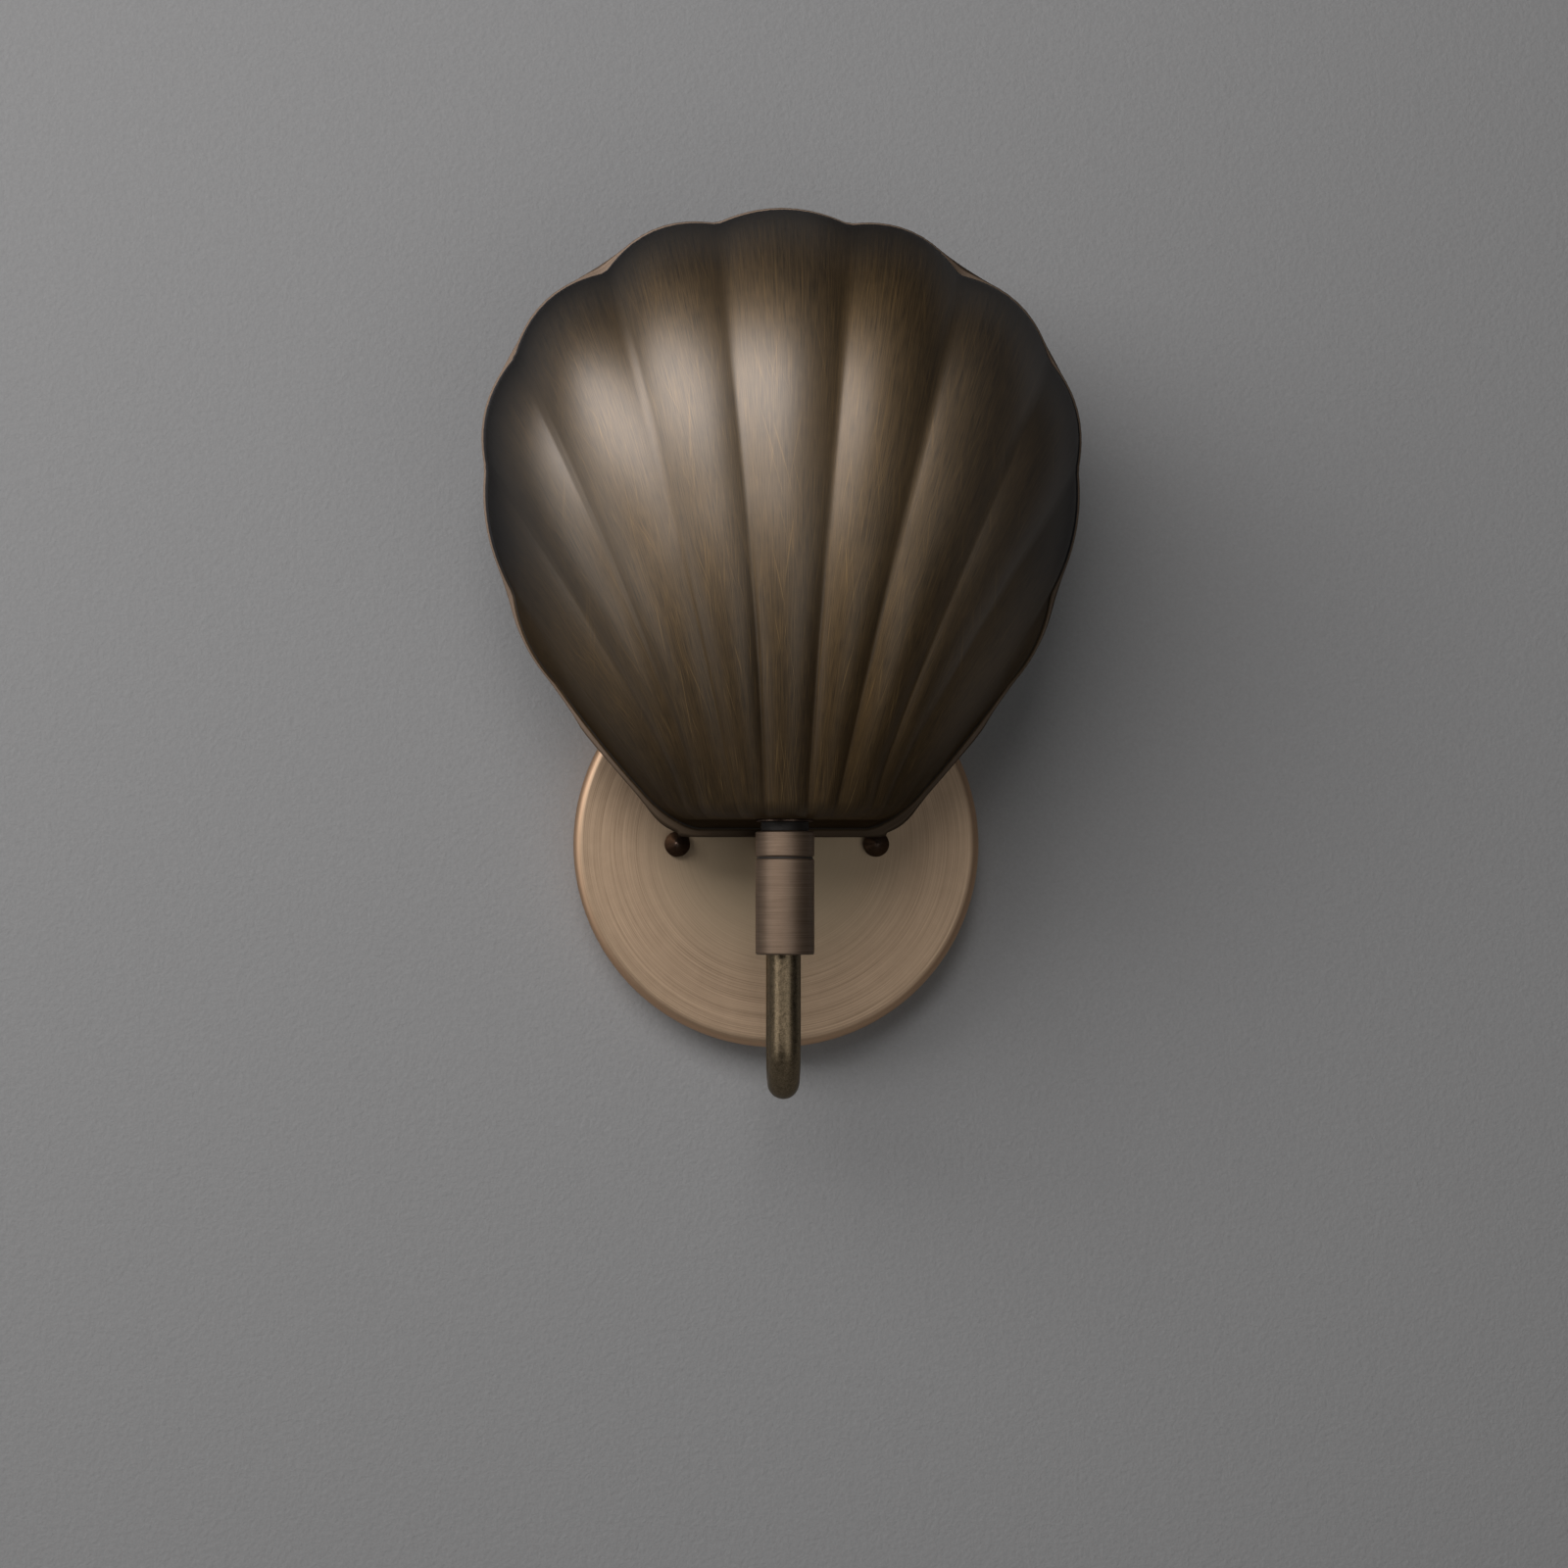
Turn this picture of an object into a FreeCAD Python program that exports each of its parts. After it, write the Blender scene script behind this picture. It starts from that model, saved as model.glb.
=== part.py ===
"""Shell wall sconce: parametric model in millimetres, +Z up.

The origin is the centre of the canopy's back, on the wall plane (y = 0), and the lamp faces -Y.
Every driving size is a named cell of the sheet, and every sub-part is bound to those cells.
A formula is a sum of cell names, numbers and their products, such as "shade_seat - neck_washer".
"""

import math
import os

import FreeCAD
import Part
import Sketcher

SIZES = (
    # canopy, crossbar and the fasteners between them
    ("canopy_radius", 69.85),
    ("canopy_depth", 19.0),
    ("canopy_sheet", 1.0),
    ("canopy_round", 3.4),
    ("bar_half_length", 54.0),
    ("bar_half_width", 9.5),
    ("bar_sheet", 2.0),
    ("bar_corner", 3.0),
    ("bar_opening", 6.5),
    ("box_screw_offset", 44.45),
    ("box_slot_half", 4.0),
    ("box_slot_radius", 2.1),
    ("stud_offset", 34.15),
    ("stud_radius", 2.08),
    ("stud_length", 23.0),
    ("stud_nut_corner", 5.0),
    ("stud_nut_height", 3.2),
    ("thread_gap", 0.05),
    ("cap_nut_radius", 4.4),
    ("cap_nut_skirt", 3.6),
    ("cap_nut_cone", 5.6),
    ("cap_nut_tip", 0.9),
    ("ground_offset", 20.5),
    ("ground_radius", 2.4),
    ("ground_head", 4.4),
    ("ground_head_height", 2.4),
    # arm tube and what clamps it to the canopy
    ("tube_radius", 5.15),
    ("tube_bore", 3.7),
    ("tube_tail", 10.0),
    ("arm_drop", 64.0),
    ("arm_rear", 65.0),
    ("arm_bend", 20.0),
    ("swivel_reach", 95.0),
    ("seat_ring_radius", 7.25),
    ("seat_ring_height", 3.0),
    ("seat_ring_bevel", 0.8),
    ("arm_washer_radius", 8.4),
    ("arm_washer_height", 1.0),
    ("arm_nut_corner", 8.25),
    ("arm_nut_height", 3.5),
    # swivel, stacked down from the underside of the shade
    ("shade_seat", 7.0),
    ("neck_washer_radius", 9.3),
    ("neck_washer", 0.8),
    ("collar_radius", 7.75),
    ("collar_height", 3.1),
    ("swivel_radius", 9.525),
    ("swivel_bevel", 0.4),
    ("ring_height", 8.3),
    ("ring_socket", 4.6),
    ("seam_washer", 0.5),
    ("seam_washer_inset", 0.45),
    ("seam_play", 0.03),
    ("spigot_radius", 5.0),
    ("spigot_length", 11.6),
    ("spigot_bore", 3.0),
    ("swivel_play", 0.05),
    ("barrel_length", 31.0),
    ("barrel_bore", 7.5),
    ("barrel_web", 5.0),
    ("wave_washer_radius", 6.9),
    ("wave_washer", 0.9),
    ("wave_play", 0.1),
    ("spigot_nut_corner", 6.9),
    ("spigot_nut_height", 3.4),
    ("bush_height", 10.0),
    ("tube_grip", 9.0),
    # neck stack inside the shade
    ("nipple_radius", 4.8),
    ("nipple_bore", 3.4),
    ("nipple_top", 10.0),
    ("shade_washer_radius", 8.0),
    ("shade_washer", 0.8),
    ("shade_nut_corner", 8.0),
    ("shade_nut_height", 3.2),
    # shade
    ("shade_half_width", 96.5),
    ("shade_height", 196.0),
    ("shade_depth", 65.0),
    ("shade_sheet", 1.0),
    ("shade_back", 23.0),
    ("rim_lip", 4.2),
    ("rim_sheet", 1.0),
    ("flute_rise", 0.135),
    # candelabra socket
    ("cup_radius", 12.5),
    ("cup_height", 8.6),
    ("cup_sheet", 0.8),
    ("cup_nut_height", 3.0),
    ("socket_gap", 0.05),
    ("socket_height", 31.0),
    ("socket_recess_radius", 8.8),
    ("socket_recess", 5.4),
    ("socket_well", 18.0),
    ("screw_shell_radius", 6.55),
    ("screw_shell_wall", 0.6),
    ("screw_shell_height", 15.4),
    ("screw_shell_lift", 2.0),
    ("contact_radius", 3.2),
    ("contact_plate", 0.5),
    ("contact_button", 1.4),
    ("contact_height", 1.4),
    ("terminal_radius", 1.4),
    ("terminal_head", 2.4),
    ("terminal_head_height", 1.4),
    ("terminal_drop", 12.0),
    ("terminal_length", 4.2),
    # bulb
    ("bulb_gap", 0.2),
    ("eyelet_radius", 2.0),
    ("eyelet_height", 1.0),
    ("insulator_height", 2.8),
    ("insulator_skirt", 1.0),
    ("bulb_play", 0.07),
    ("bulb_base_wall", 0.4),
    ("bulb_base_height", 15.0),
    ("bulb_neck_radius", 5.4),
    ("bulb_neck_sink", 11.0),
    ("bulb_radius", 17.5),
    ("bulb_half_length", 36.0),
    ("bulb_middle", 75.5),
    ("bulb_wall", 0.8),
    ("stem_radius", 2.2),
    ("stem_height", 23.0),
    ("stem_plate_radius", 4.2),
    ("stem_plate", 1.2),
    ("filament_radius", 0.8),
    ("filament_circle", 3.0),
    ("filament_length", 34.0),
)

# Heights on the swivel axis, each a formula of the stack from the shade's underside.
COLLAR_TOP = "shade_seat - neck_washer"
RING_TOP = COLLAR_TOP + " - collar_height"
RING_BASE = RING_TOP + " - ring_height"
BARREL_TOP = RING_BASE + " - seam_washer - seam_play - seam_play"
BARREL_BASE = BARREL_TOP + " - barrel_length"
WEB_BASE = BARREL_TOP + " - barrel_web"
FLOOR_TOP = "shade_seat + shade_sheet"
SHADE_NUT_BASE = FLOOR_TOP + " + shade_washer"
CUP_BASE = SHADE_NUT_BASE + " + shade_nut_height"
CUP_FLOOR = CUP_BASE + " + cup_sheet"
SOCKET_TOP = CUP_FLOOR + " + socket_height"
WELL_FLOOR = SOCKET_TOP + " - socket_well"
EYELET_BASE = WELL_FLOOR + " + contact_height + bulb_gap"
INSULATOR_BASE = EYELET_BASE + " + eyelet_height"
BULB_BASE = INSULATOR_BASE + " + insulator_height - insulator_skirt"
SWIVEL_AXIS = ("0", "- swivel_reach", "0")

# The grooves of the shade, from its middle out. Each is a cubic from the floor's edge to the rim:
# across, as a share of the half width, and up, as a share of the height, at its four poles; then
# how far it stands off the rim plane at the floor and at its highest, as shares of the depth.
GROOVES = (
    ((0.070, 0.093, 0.171, 0.224), (0.0, 0.330, 0.668, 1.000), 0.610, 1.000),
    ((0.159, 0.270, 0.435, 0.601), (0.0, 0.281, 0.602, 0.918), 0.580, 0.945),
    ((0.278, 0.363, 0.663, 0.907), (0.0, 0.194, 0.500, 0.776), 0.465, 0.800),
    ((0.326, 0.394, 0.746, 1.000), (0.0, 0.128, 0.398, 0.592), 0.360, 0.615),
    ((0.361, 0.466, 0.725, 0.912), (0.0, 0.077, 0.240, 0.383), 0.210, 0.350),
    ((0.373, 0.487, 0.622, 0.746), (0.0, 0.051, 0.138, 0.235), 0.000, 0.000),
)
# How full each flute is beside the middle one, from the middle out.
FLUTE_SHARES = (1.0, 1.0, 0.95, 0.85, 0.55, 0.3)
# How far the lip stands out at each groove and at each flute, from the middle out, as shares.
GROOVE_LIPS = (0.31, 1.12, 0.64, 0.36, 0.65)
FLUTE_LIPS = (0.05, 0.36, 0.55, 0.45, 0.20)
# Where the shade's sections are cut, from the floor (0) to the rim (1).
STATIONS = (0.0, 0.12, 0.25, 0.38, 0.51, 0.64, 0.76, 0.86, 0.925, 0.967, 0.991, 1.0)
CREST = 0.52
# How much flatter the flutes get over the last tenth before the rim.
RIM_CALM = 0.12
# The bulb's outline, from its neck to its tip: radius as a share of the bulb's, and height as a
# share of half its length from its middle.
BULB_FORM = ((0.436, -0.90), (0.600, -0.80), (0.760, -0.65), (0.893, -0.45), (0.971, -0.24),
             (1.000, 0.0), (0.968, 0.25), (0.866, 0.50), (0.714, 0.70), (0.527, 0.85),
             (0.312, 0.95), (0.120, 0.995))
TO_WALL_AXIS = FreeCAD.Rotation(FreeCAD.Vector(1, 0, 0), 90)
UPRIGHT = FreeCAD.Rotation()


def fill_sheet(doc):
    """Put every driving size into the sheet, as a plain number with an alias."""
    sheet = doc.addObject("Spreadsheet::Sheet", "sizes")
    for row, (name, value) in enumerate(SIZES, start=1):
        sheet.set("A%d" % row, name)
        sheet.set("B%d" % row, "%g" % value)
        sheet.setAlias("B%d" % row, name)
    doc.recompute()


def bound(formula):
    """Write a formula as an expression on the sheet."""
    words = []
    for word in formula.split():
        named = word[0].isalpha()
        words.append("sizes." + word if named else word)
    return " ".join(words)


def amount(doc, formula):
    """Work out a formula from the numbers that the sheet holds now."""
    total = 0.0
    term = 0.0
    sign = 1.0
    times = False
    for word in formula.split():
        if word in "+-":
            total += sign * term
            term = 0.0
            sign = -1.0 if word == "-" else 1.0
            continue
        if word == "*":
            times = True
            continue
        value = doc.sizes.get(word) if word[0].isalpha() else float(word)
        term = term * value if times else value
        times = False
    return total + sign * term


def bind(item, **links):
    """Bind properties of an object to formulas."""
    for name, formula in links.items():
        item.setExpression(name, bound(formula))


def place(item, spot, turn=UPRIGHT):
    """Put an object at a spot that is three formulas."""
    item.Placement = FreeCAD.Placement(FreeCAD.Vector(), turn)
    for axis, formula in zip("xyz", spot):
        item.setExpression(".Placement.Base." + axis, bound(formula))


def new_body(doc, label):
    """Start a body with a label."""
    body = doc.addObject("PartDesign::Body", label)
    body.Label = label
    return body


def new_sketch(body, label, role):
    """Attach a new sketch to one of its own body's origin planes."""
    sketch = body.newObject("Sketcher::SketchObject", label)
    plane = [item for item in body.Origin.OriginFeatures if item.Role == role][0]
    sketch.AttachmentSupport = [(plane, "")]
    sketch.MapMode = "FlatFace"
    return sketch


def pin(sketch, curve, point, across, up):
    """Fix a sketch point by two formulas measured from the sketch's origin."""
    doc = sketch.Document
    for kind, formula in (("DistanceX", across), ("DistanceY", up)):
        if formula is None:
            continue
        rule = Sketcher.Constraint(kind, -1, 1, curve, point, amount(doc, formula))
        index = sketch.addConstraint(rule)
        sketch.setExpression("Constraints[%d]" % index, bound(formula))


def draw_outline(sketch, corners):
    """Draw a closed outline of straight lines through corners that are pairs of formulas."""
    doc = sketch.Document
    points = [FreeCAD.Vector(amount(doc, across), amount(doc, up), 0) for across, up in corners]
    count = len(points)
    for index in range(count):
        sketch.addGeometry(Part.LineSegment(points[index], points[(index + 1) % count]), False)
    for index in range(count):
        sketch.addConstraint(Sketcher.Constraint("Coincident", index, 2, (index + 1) % count, 1))
    for index, (across, up) in enumerate(corners):
        pin(sketch, index, 1, across, up)


def draw_circle(sketch, across, up, radius):
    """Draw a circle whose centre and radius are formulas."""
    doc = sketch.Document
    centre = FreeCAD.Vector(amount(doc, across), amount(doc, up), 0)
    circle = Part.Circle(centre, FreeCAD.Vector(0, 0, 1), amount(doc, radius))
    curve = sketch.addGeometry(circle, False)
    pin(sketch, curve, 3, across, up)
    index = sketch.addConstraint(Sketcher.Constraint("Radius", curve, amount(doc, radius)))
    sketch.setExpression("Constraints[%d]" % index, bound(radius))


def draw_slot(sketch, start, end, radius):
    """Draw a level slot between two centres on the sketch's across axis."""
    doc = sketch.Document
    left = FreeCAD.Vector(amount(doc, start), 0, 0)
    right = FreeCAD.Vector(amount(doc, end), 0, 0)
    size = amount(doc, radius)
    up = FreeCAD.Vector(0, size, 0)
    normal = FreeCAD.Vector(0, 0, 1)
    half_turn = math.pi / 2
    first = sketch.addGeometry(
        Part.ArcOfCircle(Part.Circle(left, normal, size), half_turn, 3 * half_turn), False)
    second = sketch.addGeometry(
        Part.ArcOfCircle(Part.Circle(right, normal, size), -half_turn, half_turn), False)
    low = sketch.addGeometry(Part.LineSegment(left - up, right - up), False)
    high = sketch.addGeometry(Part.LineSegment(right + up, left + up), False)
    for rule in (("Tangent", first, 2, low, 1), ("Tangent", low, 2, second, 1),
                 ("Tangent", second, 2, high, 1), ("Tangent", high, 2, first, 1),
                 ("Equal", first, second)):
        sketch.addConstraint(Sketcher.Constraint(*rule))
    pin(sketch, first, 3, start, "0")
    pin(sketch, second, 3, end, "0")
    index = sketch.addConstraint(Sketcher.Constraint("Radius", first, size))
    sketch.setExpression("Constraints[%d]" % index, bound(radius))


def turned(doc, label, corners, spot=SWIVEL_AXIS, turn=UPRIGHT):
    """Turn a closed outline of (radius, height) formulas about its own axis."""
    body = new_body(doc, label)
    sketch = new_sketch(body, label + "_outline", "XZ_Plane")
    draw_outline(sketch, corners)
    revolve = body.newObject("PartDesign::Revolution", label + "_turn")
    revolve.Profile = sketch
    revolve.ReferenceAxis = (sketch, ["V_Axis"])
    revolve.Angle = 360
    place(body, spot, turn)
    return body


def ring(bore, radius, base, top):
    """Give the outline of a plain ring."""
    return ((bore, base), (radius, base), (radius, top), (bore, top))


def hex_nut(doc, label, corner, height, bore, spot, turn=UPRIGHT):
    """Cut a round bore through a six-sided prism."""
    prism = doc.addObject("Part::Prism", label + "_prism")
    prism.Polygon = 6
    bind(prism, Circumradius=corner, Height=height)
    drill = doc.addObject("Part::Cylinder", label + "_bore")
    bind(drill, Radius=bore, Height=height)
    nut = doc.addObject("Part::Cut", label)
    nut.Base = prism
    nut.Tool = drill
    nut.Label = label
    place(nut, spot, turn)
    return nut


def pair(doc, label, item):
    """Join an object and its mirror image across the lamp's middle in one sub-part."""
    other = doc.addObject("Part::Mirroring", label + "_other")
    other.Source = item
    other.Base = FreeCAD.Vector()
    other.Normal = FreeCAD.Vector(1, 0, 0)
    both = doc.addObject("Part::Compound", label)
    both.Links = [item, other]
    both.Label = label
    return both


def roll(radius, height, less):
    """Give the corners of a rolled edge in five straight steps, from its face round to its side."""
    corners = []
    for turn in range(0, 91, 18):
        out, up = math.sin(math.radians(turn)), math.cos(math.radians(turn))
        corners.append((radius + less.replace("*", "* %.5f" % (1.0 - out)),
                        height + less.replace("*", "* %.5f" % (1.0 - up))))
    return corners


def make_canopy(doc):
    """Spin the canopy, roll its edge, and pierce it for the arm and the two studs."""
    inner_radius = "canopy_radius - canopy_sheet"
    inner_depth = "canopy_depth - canopy_sheet"
    bore = "tube_radius + thread_gap"
    outside = roll("canopy_radius", "canopy_depth", " - canopy_round *")
    inside = roll(inner_radius, inner_depth, " - canopy_round * + canopy_sheet *")[::-1]
    body = turned(doc, "canopy", [
        (bore, "canopy_depth"), *outside, ("canopy_radius", "0"), (inner_radius, "0"), *inside,
        (bore, inner_depth),
    ], ("0", "0", "0"), TO_WALL_AXIS)
    sketch = new_sketch(body, "canopy_stud_holes", "XY_Plane")
    draw_circle(sketch, "stud_offset", "0", "stud_radius + thread_gap")
    draw_circle(sketch, "- stud_offset", "0", "stud_radius + thread_gap")
    doc.recompute()
    pierce = body.newObject("PartDesign::Pocket", "canopy_pierce")
    pierce.Profile = sketch
    pierce.Type = "ThroughAll"
    pierce.Reversed = True
    return body


def make_crossbar(doc):
    """Stamp the crossbar: two box slots, two threaded holes, a ground hole, a wire opening."""
    body = new_body(doc, "mounting_crossbar")
    blank = new_sketch(body, "crossbar_blank", "XY_Plane")
    end = "bar_half_length"
    side = "bar_half_width"
    shoulder = end + " - bar_corner"
    cheek = side + " - bar_corner"
    draw_outline(blank, (
        (end, cheek), (shoulder, side), ("- bar_half_length + bar_corner", side),
        ("- bar_half_length", cheek), ("- bar_half_length", "- bar_half_width + bar_corner"),
        ("- bar_half_length + bar_corner", "- bar_half_width"), (shoulder, "- bar_half_width"),
        (end, "- bar_half_width + bar_corner"),
    ))
    plate = body.newObject("PartDesign::Pad", "crossbar_plate")
    plate.Profile = blank
    bind(plate, Length="bar_sheet")
    doc.recompute()
    holes = new_sketch(body, "crossbar_holes", "XY_Plane")
    for sign in ("", "- "):
        draw_circle(holes, sign + "stud_offset", "0", "stud_radius + thread_gap")
    draw_circle(holes, "0", "0", "bar_opening")
    draw_circle(holes, "ground_offset", "0", "ground_radius + thread_gap")
    draw_slot(holes, "box_screw_offset - box_slot_half", "box_screw_offset + box_slot_half",
              "box_slot_radius")
    draw_slot(holes, "- box_screw_offset - box_slot_half", "- box_screw_offset + box_slot_half",
              "box_slot_radius")
    pierce = body.newObject("PartDesign::Pocket", "crossbar_pierce")
    pierce.Profile = holes
    pierce.Type = "ThroughAll"
    pierce.Reversed = True
    place(body, ("0", "0", "0"), TO_WALL_AXIS)
    return body


def make_wall_fasteners(doc):
    """Make the studs, their lock nuts, the pointed cap nuts and the ground screw."""
    spot = ("stud_offset", "0", "0")
    stud = turned(doc, "stud_right", (
        ("0", "0"), ("stud_radius", "0"), ("stud_radius", "stud_length"), ("0", "stud_length"),
    ), spot, TO_WALL_AXIS)
    nut = hex_nut(doc, "stud_nut_right", "stud_nut_corner", "stud_nut_height",
                  "stud_radius + thread_gap", ("stud_offset", "- bar_sheet", "0"), TO_WALL_AXIS)
    hole = "stud_radius + thread_gap"
    skirt_top = "canopy_depth + cap_nut_skirt"
    tip = skirt_top + " + cap_nut_cone"
    hole_end = "stud_length + thread_gap"
    cap = turned(doc, "cap_nut_right", (
        (hole, "canopy_depth"), ("cap_nut_radius", "canopy_depth"),
        ("cap_nut_radius", skirt_top), ("cap_nut_tip", tip), ("0", tip),
        ("0", hole_end), (hole, hole_end),
    ), spot, TO_WALL_AXIS)
    ground_top = "bar_sheet + ground_head_height"
    ground = turned(doc, "ground_screw", (
        ("0", "0"), ("ground_radius", "0"), ("ground_radius", "bar_sheet"),
        ("ground_head", "bar_sheet"), ("ground_head", ground_top), ("0", ground_top),
    ), ("ground_offset", "0", "0"), TO_WALL_AXIS)
    return (pair(doc, "canopy_studs", stud), pair(doc, "stud_lock_nuts", nut),
            pair(doc, "cap_nuts", cap), ground)


def make_arm_tube(doc):
    """Bend the arm: out of the canopy, down, round the tight U and up into the barrel."""
    body = new_body(doc, "arm_tube")
    path = new_sketch(body, "arm_path", "YZ_Plane")
    front_top = BARREL_BASE + " + tube_grip"
    corner = "- arm_rear + arm_bend"
    stops = (("- tube_tail", "0"), (corner, "0"), ("- arm_rear", "- arm_bend"),
             ("- arm_rear", "- arm_drop"), ("- swivel_reach", "- arm_drop"),
             ("- swivel_reach", front_top))
    points = [FreeCAD.Vector(amount(doc, y), amount(doc, z), 0) for y, z in stops]
    bend = amount(doc, "arm_bend")
    high = FreeCAD.Vector(amount(doc, corner), -bend, 0)
    low = (points[3] + points[4]) * 0.5
    normal = FreeCAD.Vector(0, 0, 1)
    quarter = math.pi / 2
    path.addGeometry(Part.LineSegment(points[0], points[1]), False)
    path.addGeometry(
        Part.ArcOfCircle(Part.Circle(high, normal, bend), quarter, 2 * quarter), False)
    path.addGeometry(Part.LineSegment(points[2], points[3]), False)
    path.addGeometry(
        Part.ArcOfCircle(Part.Circle(low, normal, (points[3] - low).Length), 2 * quarter,
                         4 * quarter), False)
    path.addGeometry(Part.LineSegment(points[4], points[5]), False)
    for joint in ((0, 2, 1, 1), (1, 2, 2, 1), (2, 2, 3, 2), (3, 1, 4, 1)):
        path.addConstraint(Sketcher.Constraint("Coincident", *joint))
    pins = ((0, 1, 0), (0, 2, 1), (2, 1, 2), (2, 2, 3), (4, 1, 4), (4, 2, 5))
    for curve, point, stop in pins:
        pin(path, curve, point, *stops[stop])
    pin(path, 1, 3, corner, None)
    pin(path, 3, 3, None, "- arm_drop")
    section = new_sketch(body, "arm_section", "XZ_Plane")
    section.setExpression(".AttachmentOffset.Base.z", bound("tube_tail"))
    draw_circle(section, "0", "0", "tube_radius")
    draw_circle(section, "0", "0", "tube_bore")
    doc.recompute()
    pipe = body.newObject("PartDesign::AdditivePipe", "arm_pipe")
    pipe.Profile = section
    pipe.Spine = (path, ["Edge%d" % number for number in range(1, 6)])
    pipe.Transition = "Transformed"
    return body


def make_arm_clamp(doc):
    """Make the ring in front of the canopy and the washer and nut behind it."""
    bore = "tube_radius + thread_gap"
    front = "canopy_depth + seat_ring_height"
    seat = turned(doc, "arm_seat_ring", (
        (bore, "canopy_depth"), ("seat_ring_radius", "canopy_depth"),
        ("seat_ring_radius", front + " - seat_ring_bevel"),
        ("seat_ring_radius - seat_ring_bevel", front), (bore, front),
    ), ("0", "0", "0"), TO_WALL_AXIS)
    inside = "canopy_depth - canopy_sheet"
    washer = turned(doc, "arm_lock_washer",
                    ring(bore, "arm_washer_radius", inside + " - arm_washer_height", inside),
                    ("0", "0", "0"), TO_WALL_AXIS)
    nut = hex_nut(doc, "arm_lock_nut", "arm_nut_corner", "arm_nut_height", bore,
                  ("0", "- canopy_depth + canopy_sheet + arm_washer_height + arm_nut_height", "0"),
                  TO_WALL_AXIS)
    return seat, washer, nut


def make_swivel_barrel(doc):
    """Turn the fixed half of the swivel, its bottom bush and the washer in its seam."""
    hole = "spigot_radius + swivel_play"
    low = BARREL_BASE
    barrel = turned(doc, "swivel_barrel", (
        ("barrel_bore", low), ("swivel_radius - swivel_bevel", low),
        ("swivel_radius", low + " + swivel_bevel"),
        ("swivel_radius", BARREL_TOP + " - swivel_bevel"),
        ("swivel_radius - swivel_bevel", BARREL_TOP), (hole, BARREL_TOP),
        (hole, WEB_BASE), ("barrel_bore", WEB_BASE),
    ))
    bush = turned(doc, "swivel_bottom_bush",
                  ring("tube_radius + thread_gap", "barrel_bore - thread_gap", low,
                       low + " + bush_height"))
    seam = turned(doc, "swivel_seam_washer",
                  ring(hole, "swivel_radius - seam_washer_inset", BARREL_TOP,
                       BARREL_TOP + " + seam_washer"))
    return barrel, bush, seam


def make_swivel_head(doc):
    """Turn the moving half of the swivel with its hollow spigot, and what holds it down."""
    spigot_end = RING_BASE + " - spigot_length"
    step = RING_TOP + " - ring_socket"
    socket = "nipple_radius + thread_gap"
    head = turned(doc, "swivel_head", (
        ("spigot_bore", spigot_end), ("spigot_radius", spigot_end),
        ("spigot_radius", RING_BASE), ("swivel_radius - swivel_bevel", RING_BASE),
        ("swivel_radius", RING_BASE + " + swivel_bevel"),
        ("swivel_radius", RING_TOP + " - swivel_bevel"),
        ("swivel_radius - swivel_bevel", RING_TOP), (socket, RING_TOP),
        (socket, step), ("spigot_bore", step),
    ))
    washer_top = WEB_BASE + " - wave_play"
    washer_base = washer_top + " - wave_washer"
    bore = "spigot_radius + thread_gap"
    washer = turned(doc, "swivel_wave_washer",
                    ring(bore, "wave_washer_radius", washer_base, washer_top))
    nut = hex_nut(doc, "swivel_retaining_nut", "spigot_nut_corner", "spigot_nut_height", bore,
                  ("0", "- swivel_reach", washer_base + " - spigot_nut_height"))
    return head, washer, nut


def make_neck(doc):
    """Make the nipple and what it threads together under and inside the shade."""
    bore = "nipple_radius + thread_gap"
    nipple = turned(doc, "neck_nipple",
                    ring("nipple_bore", "nipple_radius", RING_TOP + " - ring_socket",
                         "shade_seat + nipple_top"))
    collar = turned(doc, "neck_collar", ring(bore, "collar_radius", RING_TOP, COLLAR_TOP))
    washer = turned(doc, "neck_washer", ring(bore, "neck_washer_radius", COLLAR_TOP, "shade_seat"))
    lock = turned(doc, "shade_lock_washer",
                  ring(bore, "shade_washer_radius", FLOOR_TOP, SHADE_NUT_BASE))
    nut = hex_nut(doc, "shade_lock_nut", "shade_nut_corner", "shade_nut_height", bore,
                  ("0", "- swivel_reach", SHADE_NUT_BASE))
    return nipple, collar, washer, lock, nut


def cubic(poles, share):
    """Give a cubic's value from its four poles."""
    rest = 1.0 - share
    weights = (rest ** 3, 3 * rest ** 2 * share, 3 * rest * share ** 2, share ** 3)
    return sum(weight * pole for weight, pole in zip(weights, poles))


def stand_off(foot, crest, share):
    """Give how far a groove stands off the rim plane: a rise to its crest, then a steep fall."""
    if share <= CREST:
        return foot + (crest - foot) * math.sin(0.5 * math.pi * share / CREST)
    return crest * math.sqrt(max(0.0, 1.0 - ((share - CREST) / (1.0 - CREST)) ** 2.6))


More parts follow.
